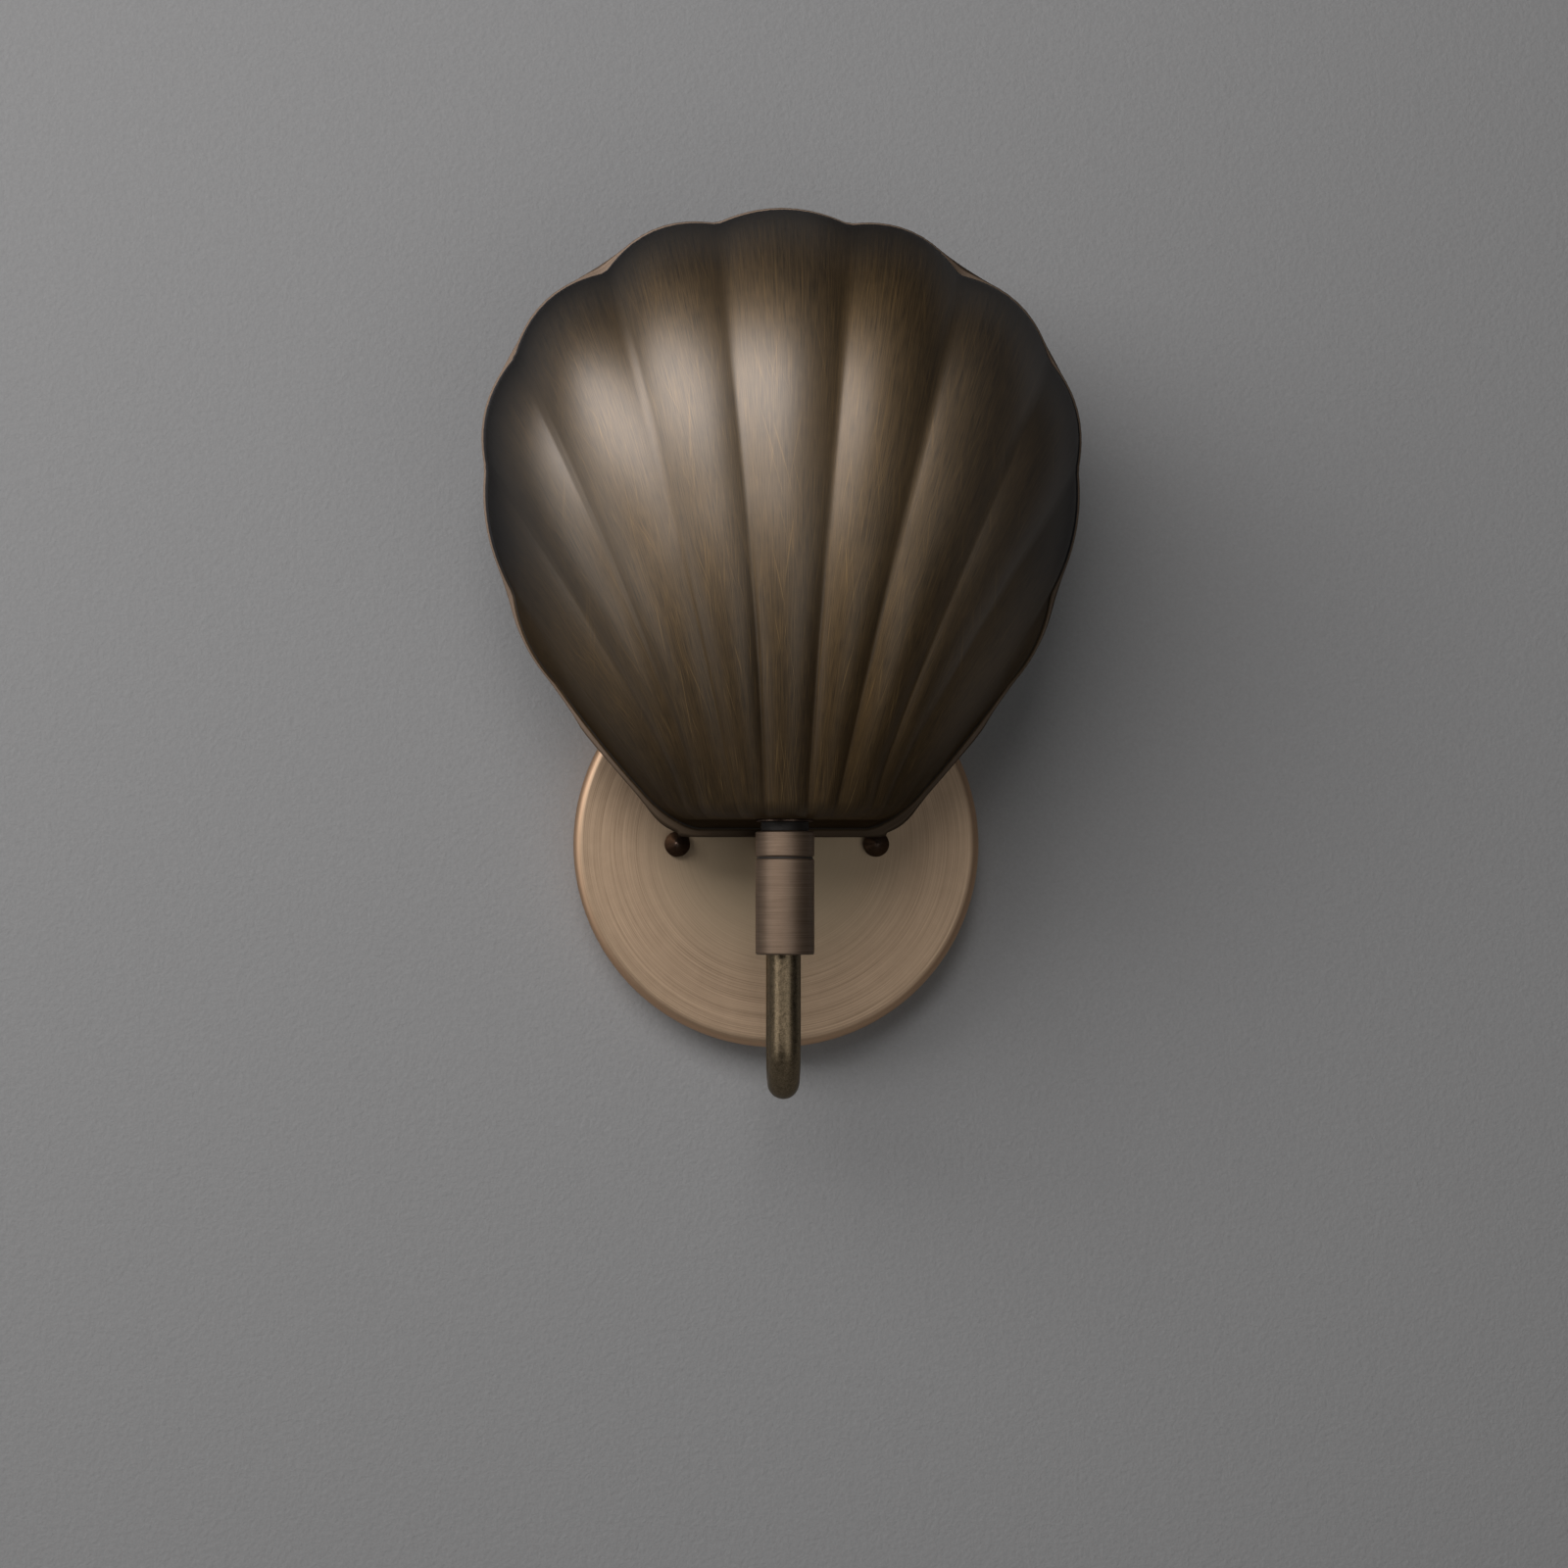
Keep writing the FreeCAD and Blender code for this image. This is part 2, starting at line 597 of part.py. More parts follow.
class ShadeForm:
    """The fluted form of the shade, at its outer face or inset by the sheet's thickness."""

    def __init__(self, doc, inset):
        """Read the sizes that the form follows."""
        sheet = amount(doc, "shade_sheet")
        self.width = amount(doc, "shade_half_width") - inset * sheet
        self.floor = amount(doc, "shade_seat") + inset * sheet
        self.height = amount(doc, "shade_height") - inset * 2.0 * sheet
        self.rim = inset * sheet - amount(doc, "swivel_reach - shade_back")
        self.depth = amount(doc, "shade_depth")
        self.rise = amount(doc, "flute_rise")

    def groove_point(self, groove, side, share):
        """Give the point of one groove, left (-1) or right (+1), at a station."""
        across, up, foot, crest = groove
        return FreeCAD.Vector(
            side * self.width * cubic(across, share),
            self.rim - self.depth * stand_off(foot, crest, share),
            self.floor + self.height * cubic(up, share))

    def row(self, share):
        """Give all groove points of one station, from left to right."""
        left = [self.groove_point(groove, -1.0, share) for groove in reversed(GROOVES)]
        right = [self.groove_point(groove, 1.0, share) for groove in GROOVES]
        return left + right

    def arch(self, share):
        """Give how high a full flute arches at a station, as a share of its chord."""
        return self.rise * (1.0 - RIM_CALM * max(0.0, 10.0 * share - 9.0))

    def section(self, share):
        """Draw one station's scalloped section, one arched edge for each flute."""
        points = self.row(share)
        before = self.row(max(0.0, share - 0.01))
        after = self.row(min(1.0, share + 0.01))
        fullness = FLUTE_SHARES[:0:-1] + FLUTE_SHARES
        core = FreeCAD.Vector(0, self.rim, self.floor + 0.45 * self.height)
        edges = []
        for index, full in enumerate(fullness):
            start, end = points[index], points[index + 1]
            chord = end - start
            along = (after[index] + after[index + 1]) - (before[index] + before[index + 1])
            out = chord.cross(along)
            middle = (start + end) * 0.5
            if share == 0.0:
                out = FreeCAD.Vector(chord.y, -chord.x, 0)
            if share == 1.0:
                out = FreeCAD.Vector(chord.z, 0, -chord.x)
            if out.dot(middle - core) < 0:
                out = -out
            out.normalize()
            pole = middle + out * (2.0 * self.arch(share) * full * chord.Length)
            curve = Part.BezierCurve()
            curve.setPoles([start, pole, end])
            edges.append(curve.toShape())
        return Part.Wire(edges)

    def solid(self):
        """Loft the sections and close the form with its flat back and flat floor."""
        skin = Part.makeLoft([self.section(share) for share in STATIONS], False, True)
        back = []
        floor = []
        for edge in skin.Edges:
            middle = edge.valueAt(0.5 * (edge.FirstParameter + edge.LastParameter))
            spots = [middle] + [vertex.Point for vertex in edge.Vertexes]
            if all(abs(spot.y - self.rim) < 1e-6 for spot in spots):
                back.append(edge)
            if all(abs(spot.z - self.floor) < 1e-6 for spot in spots):
                floor.append(edge)
        ends = self.row(0.0)
        heel = Part.makeLine(ends[0], ends[-1])
        faces = list(skin.Faces)
        for edges in (back + [heel], floor + [heel]):
            faces.append(Part.Face(Part.Wire(Part.__sortEdges__(edges))))
        shell = Part.makeShell(faces)
        shell.sewShape()
        return Part.makeSolid(shell)


def rim_outline(doc, form):
    """Draw the rolled-out lip's outline: soft scallops, straight sides, a flat round-cornered foot."""
    lip = amount(doc, "rim_lip")
    points = form.row(1.0)
    centre = FreeCAD.Vector(0, form.rim, form.floor + 0.5 * form.height)
    fullness = FLUTE_SHARES[:0:-1] + FLUTE_SHARES
    groove_lips = GROOVE_LIPS[::-1] + GROOVE_LIPS
    flute_lips = (0.0,) + FLUTE_LIPS[:0:-1] + FLUTE_LIPS + (0.0,)
    spots = []
    for index, full in enumerate(fullness):
        start, end = points[index], points[index + 1]
        chord = end - start
        out = FreeCAD.Vector(chord.z, 0, -chord.x)
        if out.dot((start + end) * 0.5 - centre) < 0:
            out = -out
        out.normalize()
        if index > 0:
            away = (start - centre).normalize()
            spots.append(start + away * (groove_lips[index - 1] * lip))
        crest = (start + end) * 0.5 + out * (form.arch(1.0) * full * chord.Length)
        spots.append(crest + out * (flute_lips[index] * lip))
    foot = form.floor - 1.3 * lip
    side = form.width
    knee = FreeCAD.Vector(0.50 * side, form.rim, form.floor + 0.045 * form.height)
    heel = FreeCAD.Vector(0.405 * side, form.rim, form.floor - 0.35 * lip)
    toe = FreeCAD.Vector(0.29 * side, form.rim, foot)
    spots[0] = FreeCAD.Vector(-0.668 * side, form.rim, form.floor + 0.142 * form.height)
    spots[-1] = FreeCAD.Vector(0.668 * side, form.rim, form.floor + 0.142 * form.height)
    flip = [FreeCAD.Vector(-spot.x, spot.y, spot.z) for spot in (knee, heel, toe)]
    curve = Part.BSplineCurve()
    curve.interpolate([flip[0]] + spots + [knee])
    edges = [curve.toShape(), Part.Arc(knee, heel, toe).toShape(),
             Part.makeLine(toe, flip[2]), Part.Arc(flip[2], flip[1], flip[0]).toShape()]
    return Part.Wire(edges)


def make_shade(doc):
    """Raise the fluted shade from one sheet, open to the wall, with its lip and neck hole."""
    outer = ShadeForm(doc, 0.0)
    inner = ShadeForm(doc, 1.0)
    lip = Part.Face(rim_outline(doc, outer))
    lip = lip.extrude(FreeCAD.Vector(0, -amount(doc, "rim_sheet"), 0))
    sheet = amount(doc, "shade_sheet")
    reach = FreeCAD.Vector(0, -amount(doc, "swivel_reach"), outer.floor - sheet)
    hole = Part.makeCylinder(amount(doc, "nipple_radius + thread_gap"), 3.0 * sheet, reach)
    shape = outer.solid().fuse(lip).cut(inner.solid()).cut(hole).removeSplitter()
    shade = doc.addObject("Part::Feature", "shade_shell")
    shade.Shape = shape.Solids[0]
    shade.Label = "shade_shell"
    shade.Placement = FreeCAD.Placement()
    return shade


def make_socket_mount(doc):
    """Make the metal cup that holds the socket, and the nut that clamps it."""
    bore = "nipple_radius + thread_gap"
    inside = "cup_radius - cup_sheet"
    rim = CUP_BASE + " + cup_height"
    cup = turned(doc, "socket_cup", (
        (bore, CUP_BASE), ("cup_radius", CUP_BASE), ("cup_radius", rim), (inside, rim),
        (inside, CUP_FLOOR), (bore, CUP_FLOOR),
    ))
    nut = hex_nut(doc, "socket_cup_nut", "shade_nut_corner", "cup_nut_height", bore,
                  ("0", "- swivel_reach", CUP_FLOOR))
    return cup, nut


def make_socket(doc):
    """Mould the socket body and fit its screw shell, centre contact and terminal screws."""
    side = "cup_radius - cup_sheet - socket_gap"
    recess_top = CUP_FLOOR + " + socket_recess"
    well = "screw_shell_radius + socket_gap"
    moulding = turned(doc, "socket_moulding", (
        ("socket_recess_radius", CUP_FLOOR), (side, CUP_FLOOR), (side, SOCKET_TOP),
        (well, SOCKET_TOP), (well, WELL_FLOOR), ("0", WELL_FLOOR), ("0", recess_top),
        ("socket_recess_radius", recess_top),
    ))
    screw_height = SOCKET_TOP + " - terminal_drop"
    drill = doc.addObject("Part::Cylinder", "socket_terminal_drill")
    bind(drill, Radius="terminal_radius + socket_gap",
         Height="cup_radius + cup_radius + cup_sheet")
    drill.Placement = FreeCAD.Placement(
        FreeCAD.Vector(), FreeCAD.Rotation(FreeCAD.Vector(0, 1, 0), 90))
    for axis, formula in (("x", "- cup_radius"), ("y", "- swivel_reach"), ("z", screw_height)):
        drill.setExpression(".Placement.Base." + axis, bound(formula))
    body = doc.addObject("Part::Cut", "socket_body")
    body.Base = moulding
    body.Tool = drill
    body.Label = "socket_body"
    shell_base = WELL_FLOOR + " + screw_shell_lift"
    shell = turned(doc, "socket_screw_shell",
                   ring("screw_shell_radius - screw_shell_wall", "screw_shell_radius",
                        shell_base, shell_base + " + screw_shell_height"))
    plate = WELL_FLOOR + " + contact_plate"
    button = WELL_FLOOR + " + contact_height"
    contact = turned(doc, "socket_contact", (
        ("0", WELL_FLOOR), ("contact_radius", WELL_FLOOR), ("contact_radius", plate),
        ("contact_button", plate), ("contact_button", button), ("0", button),
    ))
    screw = turned(doc, "terminal_right", (
        ("0", "- terminal_length"), ("terminal_radius", "- terminal_length"),
        ("terminal_radius", "0"), ("terminal_head", "0"),
        ("terminal_head", "terminal_head_height"), ("0", "terminal_head_height"),
    ), (side, "- swivel_reach", screw_height), FreeCAD.Rotation(FreeCAD.Vector(0, 1, 0), 90))
    return body, shell, contact, pair(doc, "terminal_screws", screw)


def make_bulb_base(doc):
    """Turn the bulb's screw base, its glass insulator and its eyelet."""
    side = "screw_shell_radius - screw_shell_wall - bulb_play"
    inside = side + " - bulb_base_wall"
    insulator_top = BULB_BASE + " + insulator_skirt"
    base = turned(doc, "bulb_base", ring(inside, side, BULB_BASE,
                                         BULB_BASE + " + bulb_base_height"))
    insulator = turned(doc, "bulb_insulator", (
        ("0", INSULATOR_BASE), ("eyelet_radius", INSULATOR_BASE), (inside, BULB_BASE),
        (inside, insulator_top), ("0", insulator_top),
    ))
    eyelet = turned(doc, "bulb_eyelet", (
        ("0", EYELET_BASE), ("eyelet_radius", EYELET_BASE),
        ("eyelet_radius", INSULATOR_BASE), ("0", INSULATOR_BASE),
    ))
    return base, insulator, eyelet


def make_bulb_glass(doc):
    """Blow the candle-shaped envelope: a long round form on a neck, hollow right through."""
    middle = "shade_seat + bulb_middle"
    neck_base = BULB_BASE + " + bulb_base_height - bulb_neck_sink"
    neck_top = middle + " - bulb_half_length * 0.951"
    outer = [("bulb_neck_radius", neck_base), ("bulb_neck_radius", neck_top)]
    inner = [("bulb_neck_radius - bulb_wall", neck_base),
             ("bulb_neck_radius - bulb_wall", neck_top)]
    for radius, height in BULB_FORM:
        level = middle + " + bulb_half_length * %g" % height
        outer.append(("bulb_radius * %g" % radius, level))
        inner.append(("bulb_radius * %g - bulb_wall * %g" % (radius, max(radius, 0.6)),
                      level + " - bulb_wall * %g" % height))
    outer.append(("0", middle + " + bulb_half_length"))
    inner[-1] = ("0", middle + " + bulb_half_length - bulb_wall")
    return turned(doc, "bulb_glass", outer + inner[::-1])


def make_bulb_inside(doc):
    """Turn the glass stem and stand four filament rods on its plate."""
    foot = BULB_BASE + " + insulator_skirt"
    foot_radius = "bulb_neck_radius - bulb_wall - socket_gap"
    plate_base = foot + " + stem_height"
    plate_top = plate_base + " + stem_plate"
    stem = turned(doc, "bulb_stem", (
        ("0", foot), (foot_radius, foot), (foot_radius, foot + " + bulb_neck_radius"),
        ("stem_radius", foot + " + bulb_neck_radius + stem_radius"),
        ("stem_radius", plate_base), ("stem_plate_radius", plate_base),
        ("stem_plate_radius", plate_top), ("0", plate_top),
    ))
    rods = []
    for number, (x_sign, y_sign) in enumerate((("", None), ("- ", None), (None, ""), (None, "- "))):
        rod = doc.addObject("Part::Cylinder", "filament_rod_%d" % number)
        bind(rod, Radius="filament_radius", Height="filament_length")
        x_formula = "0" if x_sign is None else x_sign + "filament_circle"
        y_formula = "- swivel_reach"
        if y_sign == "":
            y_formula += " + filament_circle"
        if y_sign == "- ":
            y_formula += " - filament_circle"
        place(rod, (x_formula, y_formula, plate_top))
        rods.append(rod)
    filaments = doc.addObject("Part::Compound", "bulb_filaments")
    filaments.Links = rods
    filaments.Label = "bulb_filaments"
    return stem, filaments


def make_parts(doc):
    """Make every sub-part of the lamp."""
    parts = [make_canopy(doc), make_crossbar(doc), make_arm_tube(doc), make_shade(doc)]
    for maker in (make_wall_fasteners, make_arm_clamp, make_swivel_barrel, make_swivel_head,
                  make_neck, make_socket_mount, make_socket, make_bulb_base, make_bulb_inside):
        parts.extend(maker(doc))
    parts.append(make_bulb_glass(doc))
    return parts


def check(doc, parts):
    """Stop when an object failed or a sub-part has no sound shape."""
    for item in doc.Objects:
        if "Invalid" in item.State or "Error" in item.State:
            raise RuntimeError("%s did not recompute" % item.Name)
    for part in parts:
        if part.Shape.isNull() or not part.Shape.isValid():
            raise RuntimeError("%s has no sound shape" % part.Label)


def main():
    """Build the document and write each sub-part to its own file."""
    doc = FreeCAD.newDocument("shell_wall_sconce")
    fill_sheet(doc)
    parts = make_parts(doc)
    doc.recompute()
    check(doc, parts)
    os.makedirs("parts", exist_ok=True)
    for part in parts:
        part.Shape.exportStep("parts/%s.step" % part.Label)


main()
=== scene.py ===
"""Looks of the shell wall sconce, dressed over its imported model. Metres, +Z up, the lamp faces -Y."""

import logging
import math
from dataclasses import dataclass
from enum import Enum
from functools import cached_property
from typing import Callable, NamedTuple, Sequence

import bmesh
import bpy
from mathutils import Matrix, Vector


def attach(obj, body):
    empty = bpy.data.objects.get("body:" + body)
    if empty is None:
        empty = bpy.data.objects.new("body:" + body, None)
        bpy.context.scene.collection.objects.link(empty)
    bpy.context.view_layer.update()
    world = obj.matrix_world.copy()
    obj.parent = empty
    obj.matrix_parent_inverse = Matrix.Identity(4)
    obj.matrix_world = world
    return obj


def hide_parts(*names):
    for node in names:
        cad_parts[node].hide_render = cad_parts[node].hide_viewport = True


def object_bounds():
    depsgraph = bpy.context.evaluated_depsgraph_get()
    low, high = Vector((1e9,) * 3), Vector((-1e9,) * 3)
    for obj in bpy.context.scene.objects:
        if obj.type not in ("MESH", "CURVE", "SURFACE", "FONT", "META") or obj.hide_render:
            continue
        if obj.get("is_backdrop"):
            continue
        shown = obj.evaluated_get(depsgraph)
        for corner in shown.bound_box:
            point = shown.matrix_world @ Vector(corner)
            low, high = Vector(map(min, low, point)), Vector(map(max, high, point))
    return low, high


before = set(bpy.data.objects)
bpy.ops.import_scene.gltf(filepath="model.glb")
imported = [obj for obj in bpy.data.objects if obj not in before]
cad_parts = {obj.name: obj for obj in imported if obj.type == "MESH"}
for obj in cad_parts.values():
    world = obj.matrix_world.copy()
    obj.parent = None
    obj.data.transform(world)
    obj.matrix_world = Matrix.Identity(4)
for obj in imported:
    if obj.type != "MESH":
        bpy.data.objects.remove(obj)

LOG = logging.getLogger("sconce")
MM = 0.001
Colour = tuple[float, float, float]
Outline = Sequence[tuple[float, float]]
AXIS = Vector((0.0, -0.095, 0.0))  # the upright swivel axis stands here


class Turned(Enum):
    """Which way a turned piece's own axis points."""

    UP = "up"
    OFF_WALL = "off wall"


class Grain(Enum):
    """Which way a metal's brush lines run."""

    FLUTES = "along the flutes"
    FACE_RINGS = "rings on a face that looks off the wall"
    TURNED = "rings round an upright piece"
    DRAWN = "fine and without direction"


class Value:
    """One shader socket, so that maths on it is written as Python."""

    def __init__(self, paint: "Paint", socket: bpy.types.NodeSocket) -> None:
        """Keep the material and the socket."""
        self.paint = paint
        self.socket = socket

    def _with(self, operation: str, first: object, second: object) -> "Value":
        """Give the result of one Math node on two values or numbers."""
        node = self.paint.node("ShaderNodeMath", {"operation": operation}, {0: first, 1: second})
        return Value(self.paint, node.outputs[0])

    def __add__(self, other: object) -> "Value":
        """Add."""
        return self._with("ADD", self, other)

    def __sub__(self, other: object) -> "Value":
        """Subtract."""
        return self._with("SUBTRACT", self, other)

    def __rsub__(self, other: object) -> "Value":
        """Subtract from a number."""
        return self._with("SUBTRACT", other, self)

    def __mul__(self, other: object) -> "Value":
        """Multiply."""
        return self._with("MULTIPLY", self, other)

    def __truediv__(self, other: object) -> "Value":
        """Divide."""
        return self._with("DIVIDE", self, other)

    def __pow__(self, other: object) -> "Value":
        """Raise to a power."""
        return self._with("POWER", self, other)

    def step(self, low: float, high: float) -> "Value":
        """Rise smoothly from 0 at low to 1 at high."""
        node = self.paint.node("ShaderNodeMapRange", {"interpolation_type": "SMOOTHSTEP"},
                               {"Value": self, "From Min": low, "From Max": high})
        return Value(self.paint, node.outputs[0])


class Place(NamedTuple):
    """Where a spot of a surface lies: its vector, and the vector's parts, in metres."""

    vector: Value
    x: Value
    y: Value
    z: Value


class Paint:
    """One material and the nodes that make it."""

    def __init__(self, name: str) -> None:
        """Start a material that holds only a shader and an output.

        Args:
            name: The material's name.
        """
        self.material = bpy.data.materials.new(name)
        self.material.use_nodes = True
        self.tree = self.material.node_tree
        self.tree.nodes.clear()
        self.shader = self.node("ShaderNodeBsdfPrincipled")
        output = self.node("ShaderNodeOutputMaterial")
        self.tree.links.new(self.shader.outputs[0], output.inputs["Surface"])

    def node(self, kind: str, settings: dict | None = None,
             sockets: dict | None = None) -> bpy.types.Node:
        """Add any node.

        Args:
            kind: The node's type.
            settings: Its settings, set first.
            sockets: A number, a colour or a Value for each socket, by name or place.

        Returns:
            The node.
        """
        node = self.tree.nodes.new(kind)
        for name, setting in (settings or {}).items():
            setattr(node, name, setting)
        for name, given in (sockets or {}).items():
            self.feed(node.inputs[name], given)
        return node

    def feed(self, socket: bpy.types.NodeSocket, given: object) -> None:
        """Link a Value to a socket, or set the socket to a number or a colour.

        Args:
            socket: The socket.
            given: What it gets.
        """
        if isinstance(given, Value):
            self.tree.links.new(given.socket, socket)
        elif isinstance(given, tuple) and len(given) == 3 and socket.type == "RGBA":
            socket.default_value = (*given, 1.0)
        else:
            socket.default_value = given

    def set(self, **sockets: object) -> None:
        """Set the shader's sockets, with underscores for the spaces in their names."""
        for name, given in sockets.items():
            self.feed(self.shader.inputs[name.replace("_", " ")], given)

    @cached_property
    def place(self) -> Place:
        """Give the place of each spot on the piece."""
        vector = Value(self, self.node("ShaderNodeTexCoord").outputs["Object"])
        parts = self.node("ShaderNodeSeparateXYZ", None, {"Vector": vector})
        return Place(vector, *(Value(self, output) for output in parts.outputs))

    def attribute(self, name: str) -> Value:
        """Give a number that the mesh holds for each vertex."""
        node = self.node("ShaderNodeAttribute", {"attribute_name": name})
        return Value(self, node.outputs["Fac"])

    def vector(self, x: object, y: object, z: object) -> Value:
        """Join three values in a vector."""
        node = self.node("ShaderNodeCombineXYZ", None, {0: x, 1: y, 2: z})
        return Value(self, node.outputs[0])

    def noise(self, at: Value, scale: float, detail: float, rough: float) -> Value:
        """Give cloudy noise from 0 to 1, with finer layers of a given number and strength."""
        node = self.node("ShaderNodeTexNoise", None, {
            "Vector": at, "Scale": scale, "Detail": detail, "Roughness": rough})
        return Value(self, node.outputs[0])

    def blend(self, mask: object, low: object, high: object) -> Value:
        """Mix two colours by a mask."""
        node = self.node("ShaderNodeMix", {"data_type": "RGBA"})
        self.feed(node.inputs[0], mask)
        self.feed(node.inputs[6], low)
        self.feed(node.inputs[7], high)
        return Value(self, node.outputs[2])

    def bump(self, height: Value, depth: float, strength: float) -> None:
        """Raise the surface by a height, with depth as its distance in metres."""
        node = self.node("ShaderNodeBump", None, {
            "Height": height, "Distance": depth, "Strength": strength})
        self.set(Normal=Value(self, node.outputs[0]))


def scaled(colour: Colour, shares: Colour) -> Colour:
    """Multiply a colour part by part, and stop at white."""
    return tuple(min(1.0, part * share) for part, share in zip(colour, shares))


@dataclass(frozen=True)
class Bronze:
    """Aged, brushed and lacquered bronze."""

    name: str
    dark: Colour
    light: Colour
    grain: Grain
    rough: float
    contrast: float = 1.0
    coat: float = 0.2
    coat_rough: float = 0.28
    coat_ior: float = 1.5
    tint: Colour = (0.45, 0.43, 0.41)

    def line_space(self, paint: Paint) -> Value:
        """Give the space in which noise draws this piece's brush lines.

        Args:
            paint: The material.

        Returns:
            A vector that changes fast across the lines and slowly along them.
        """
        vector, x, y, z = paint.place
        if self.grain is Grain.FLUTES:
            return paint.vector(paint.attribute("across") * 820.0, paint.attribute("along") * 7.0,
                                0.0)
        if self.grain is Grain.FACE_RINGS:
            return paint.vector((x * x + z * z) ** 0.5 * 1900.0, x * 8.0, z * 8.0)
        if self.grain is Grain.TURNED:
            return paint.vector(x * 18.0, y * 18.0, z * 2300.0)
        node = paint.node("ShaderNodeVectorMath", {"operation": "SCALE"},
                          {0: vector, "Scale": 800.0})
        return Value(paint, node.outputs[0])

    def age_and_painted_light(self, paint: Paint, mask: Value, colour: Value) -> Value:
        """Change the brushed colour by age and by painted light and shade, here not at all; mask is 0
        in a brush line to 1 beside it.
        """
        return colour

    def lacquer(self, paint: Paint) -> Value | float:
        """Give how much lacquer is left, here all of it."""
        return self.coat

    def material(self) -> bpy.types.Material:
        """Make the material.

        Returns:
            The material.
        """
        paint = Paint(self.name)
        space = self.line_space(paint)
        lines = paint.noise(space, 1.0, 3.0, 0.6)
        fine = paint.noise(space, 3.1, 2.0, 0.6)
        cloud = paint.noise(paint.place.vector, 22.0, 4.0, 0.55)
        speck = paint.noise(paint.place.vector, 240.0, 3.0, 0.6)
        brushed = (lines - 0.5) * 0.8 + (fine - 0.5) * 1.3 + (speck - 0.5) * 0.2
        mask = (brushed * self.contrast + (cloud - 0.5) * 0.35 + 0.5).step(0.0, 1.0)
        colour = self.age_and_painted_light(paint, mask, paint.blend(mask, self.dark, self.light))
        paint.set(Base_Color=colour, Metallic=1.0, Coat_Weight=self.lacquer(paint),
                  Coat_Roughness=self.coat_rough, Coat_IOR=self.coat_ior,
                  Specular_Tint=self.tint,
                  Roughness=(lines - 0.5) * 0.20 + (cloud - 0.5) * 0.14 + self.rough)
        paint.bump(lines * 0.5 + fine * 0.5, 0.00004, 0.30)
        return paint.material


@dataclass(frozen=True)
class CanopyBronze(Bronze):
    """The canopy's bronze: painted light over the middle, where the shade's shadow falls, and a painted
    highlight with rubbing at the rolled edge.
    """

    # painted light: an even colour in the middle, set light to lift the shade's cast shadow
    hub_shadow_lift: Colour = (0.42, 0.333, 0.226)
    # painted highlight along the rolled edge, with some rubbing: a lighter, redder colour there
    edge_highlight_and_rub: Colour = (1.25, 1.12, 1.05)  # shares of the light colour

    def age_and_painted_light(self, paint: Paint, mask: Value, colour: Value) -> Value:
        """Paint light over the shadowed middle, and a highlight with rubbing on the rolled edge."""
        radius = (paint.place.x * paint.place.x + paint.place.z * paint.place.z) ** 0.5
        # painted light over the middle, against the shade's cast shadow
        colour = paint.blend(radius.step(0.015, 0.055), self.hub_shadow_lift, colour)
        # lighter colour on the roll: painted highlight with rubbing
        return paint.blend(radius.step(0.0665, 0.0692), colour, scaled(self.light, self.edge_highlight_and_rub))


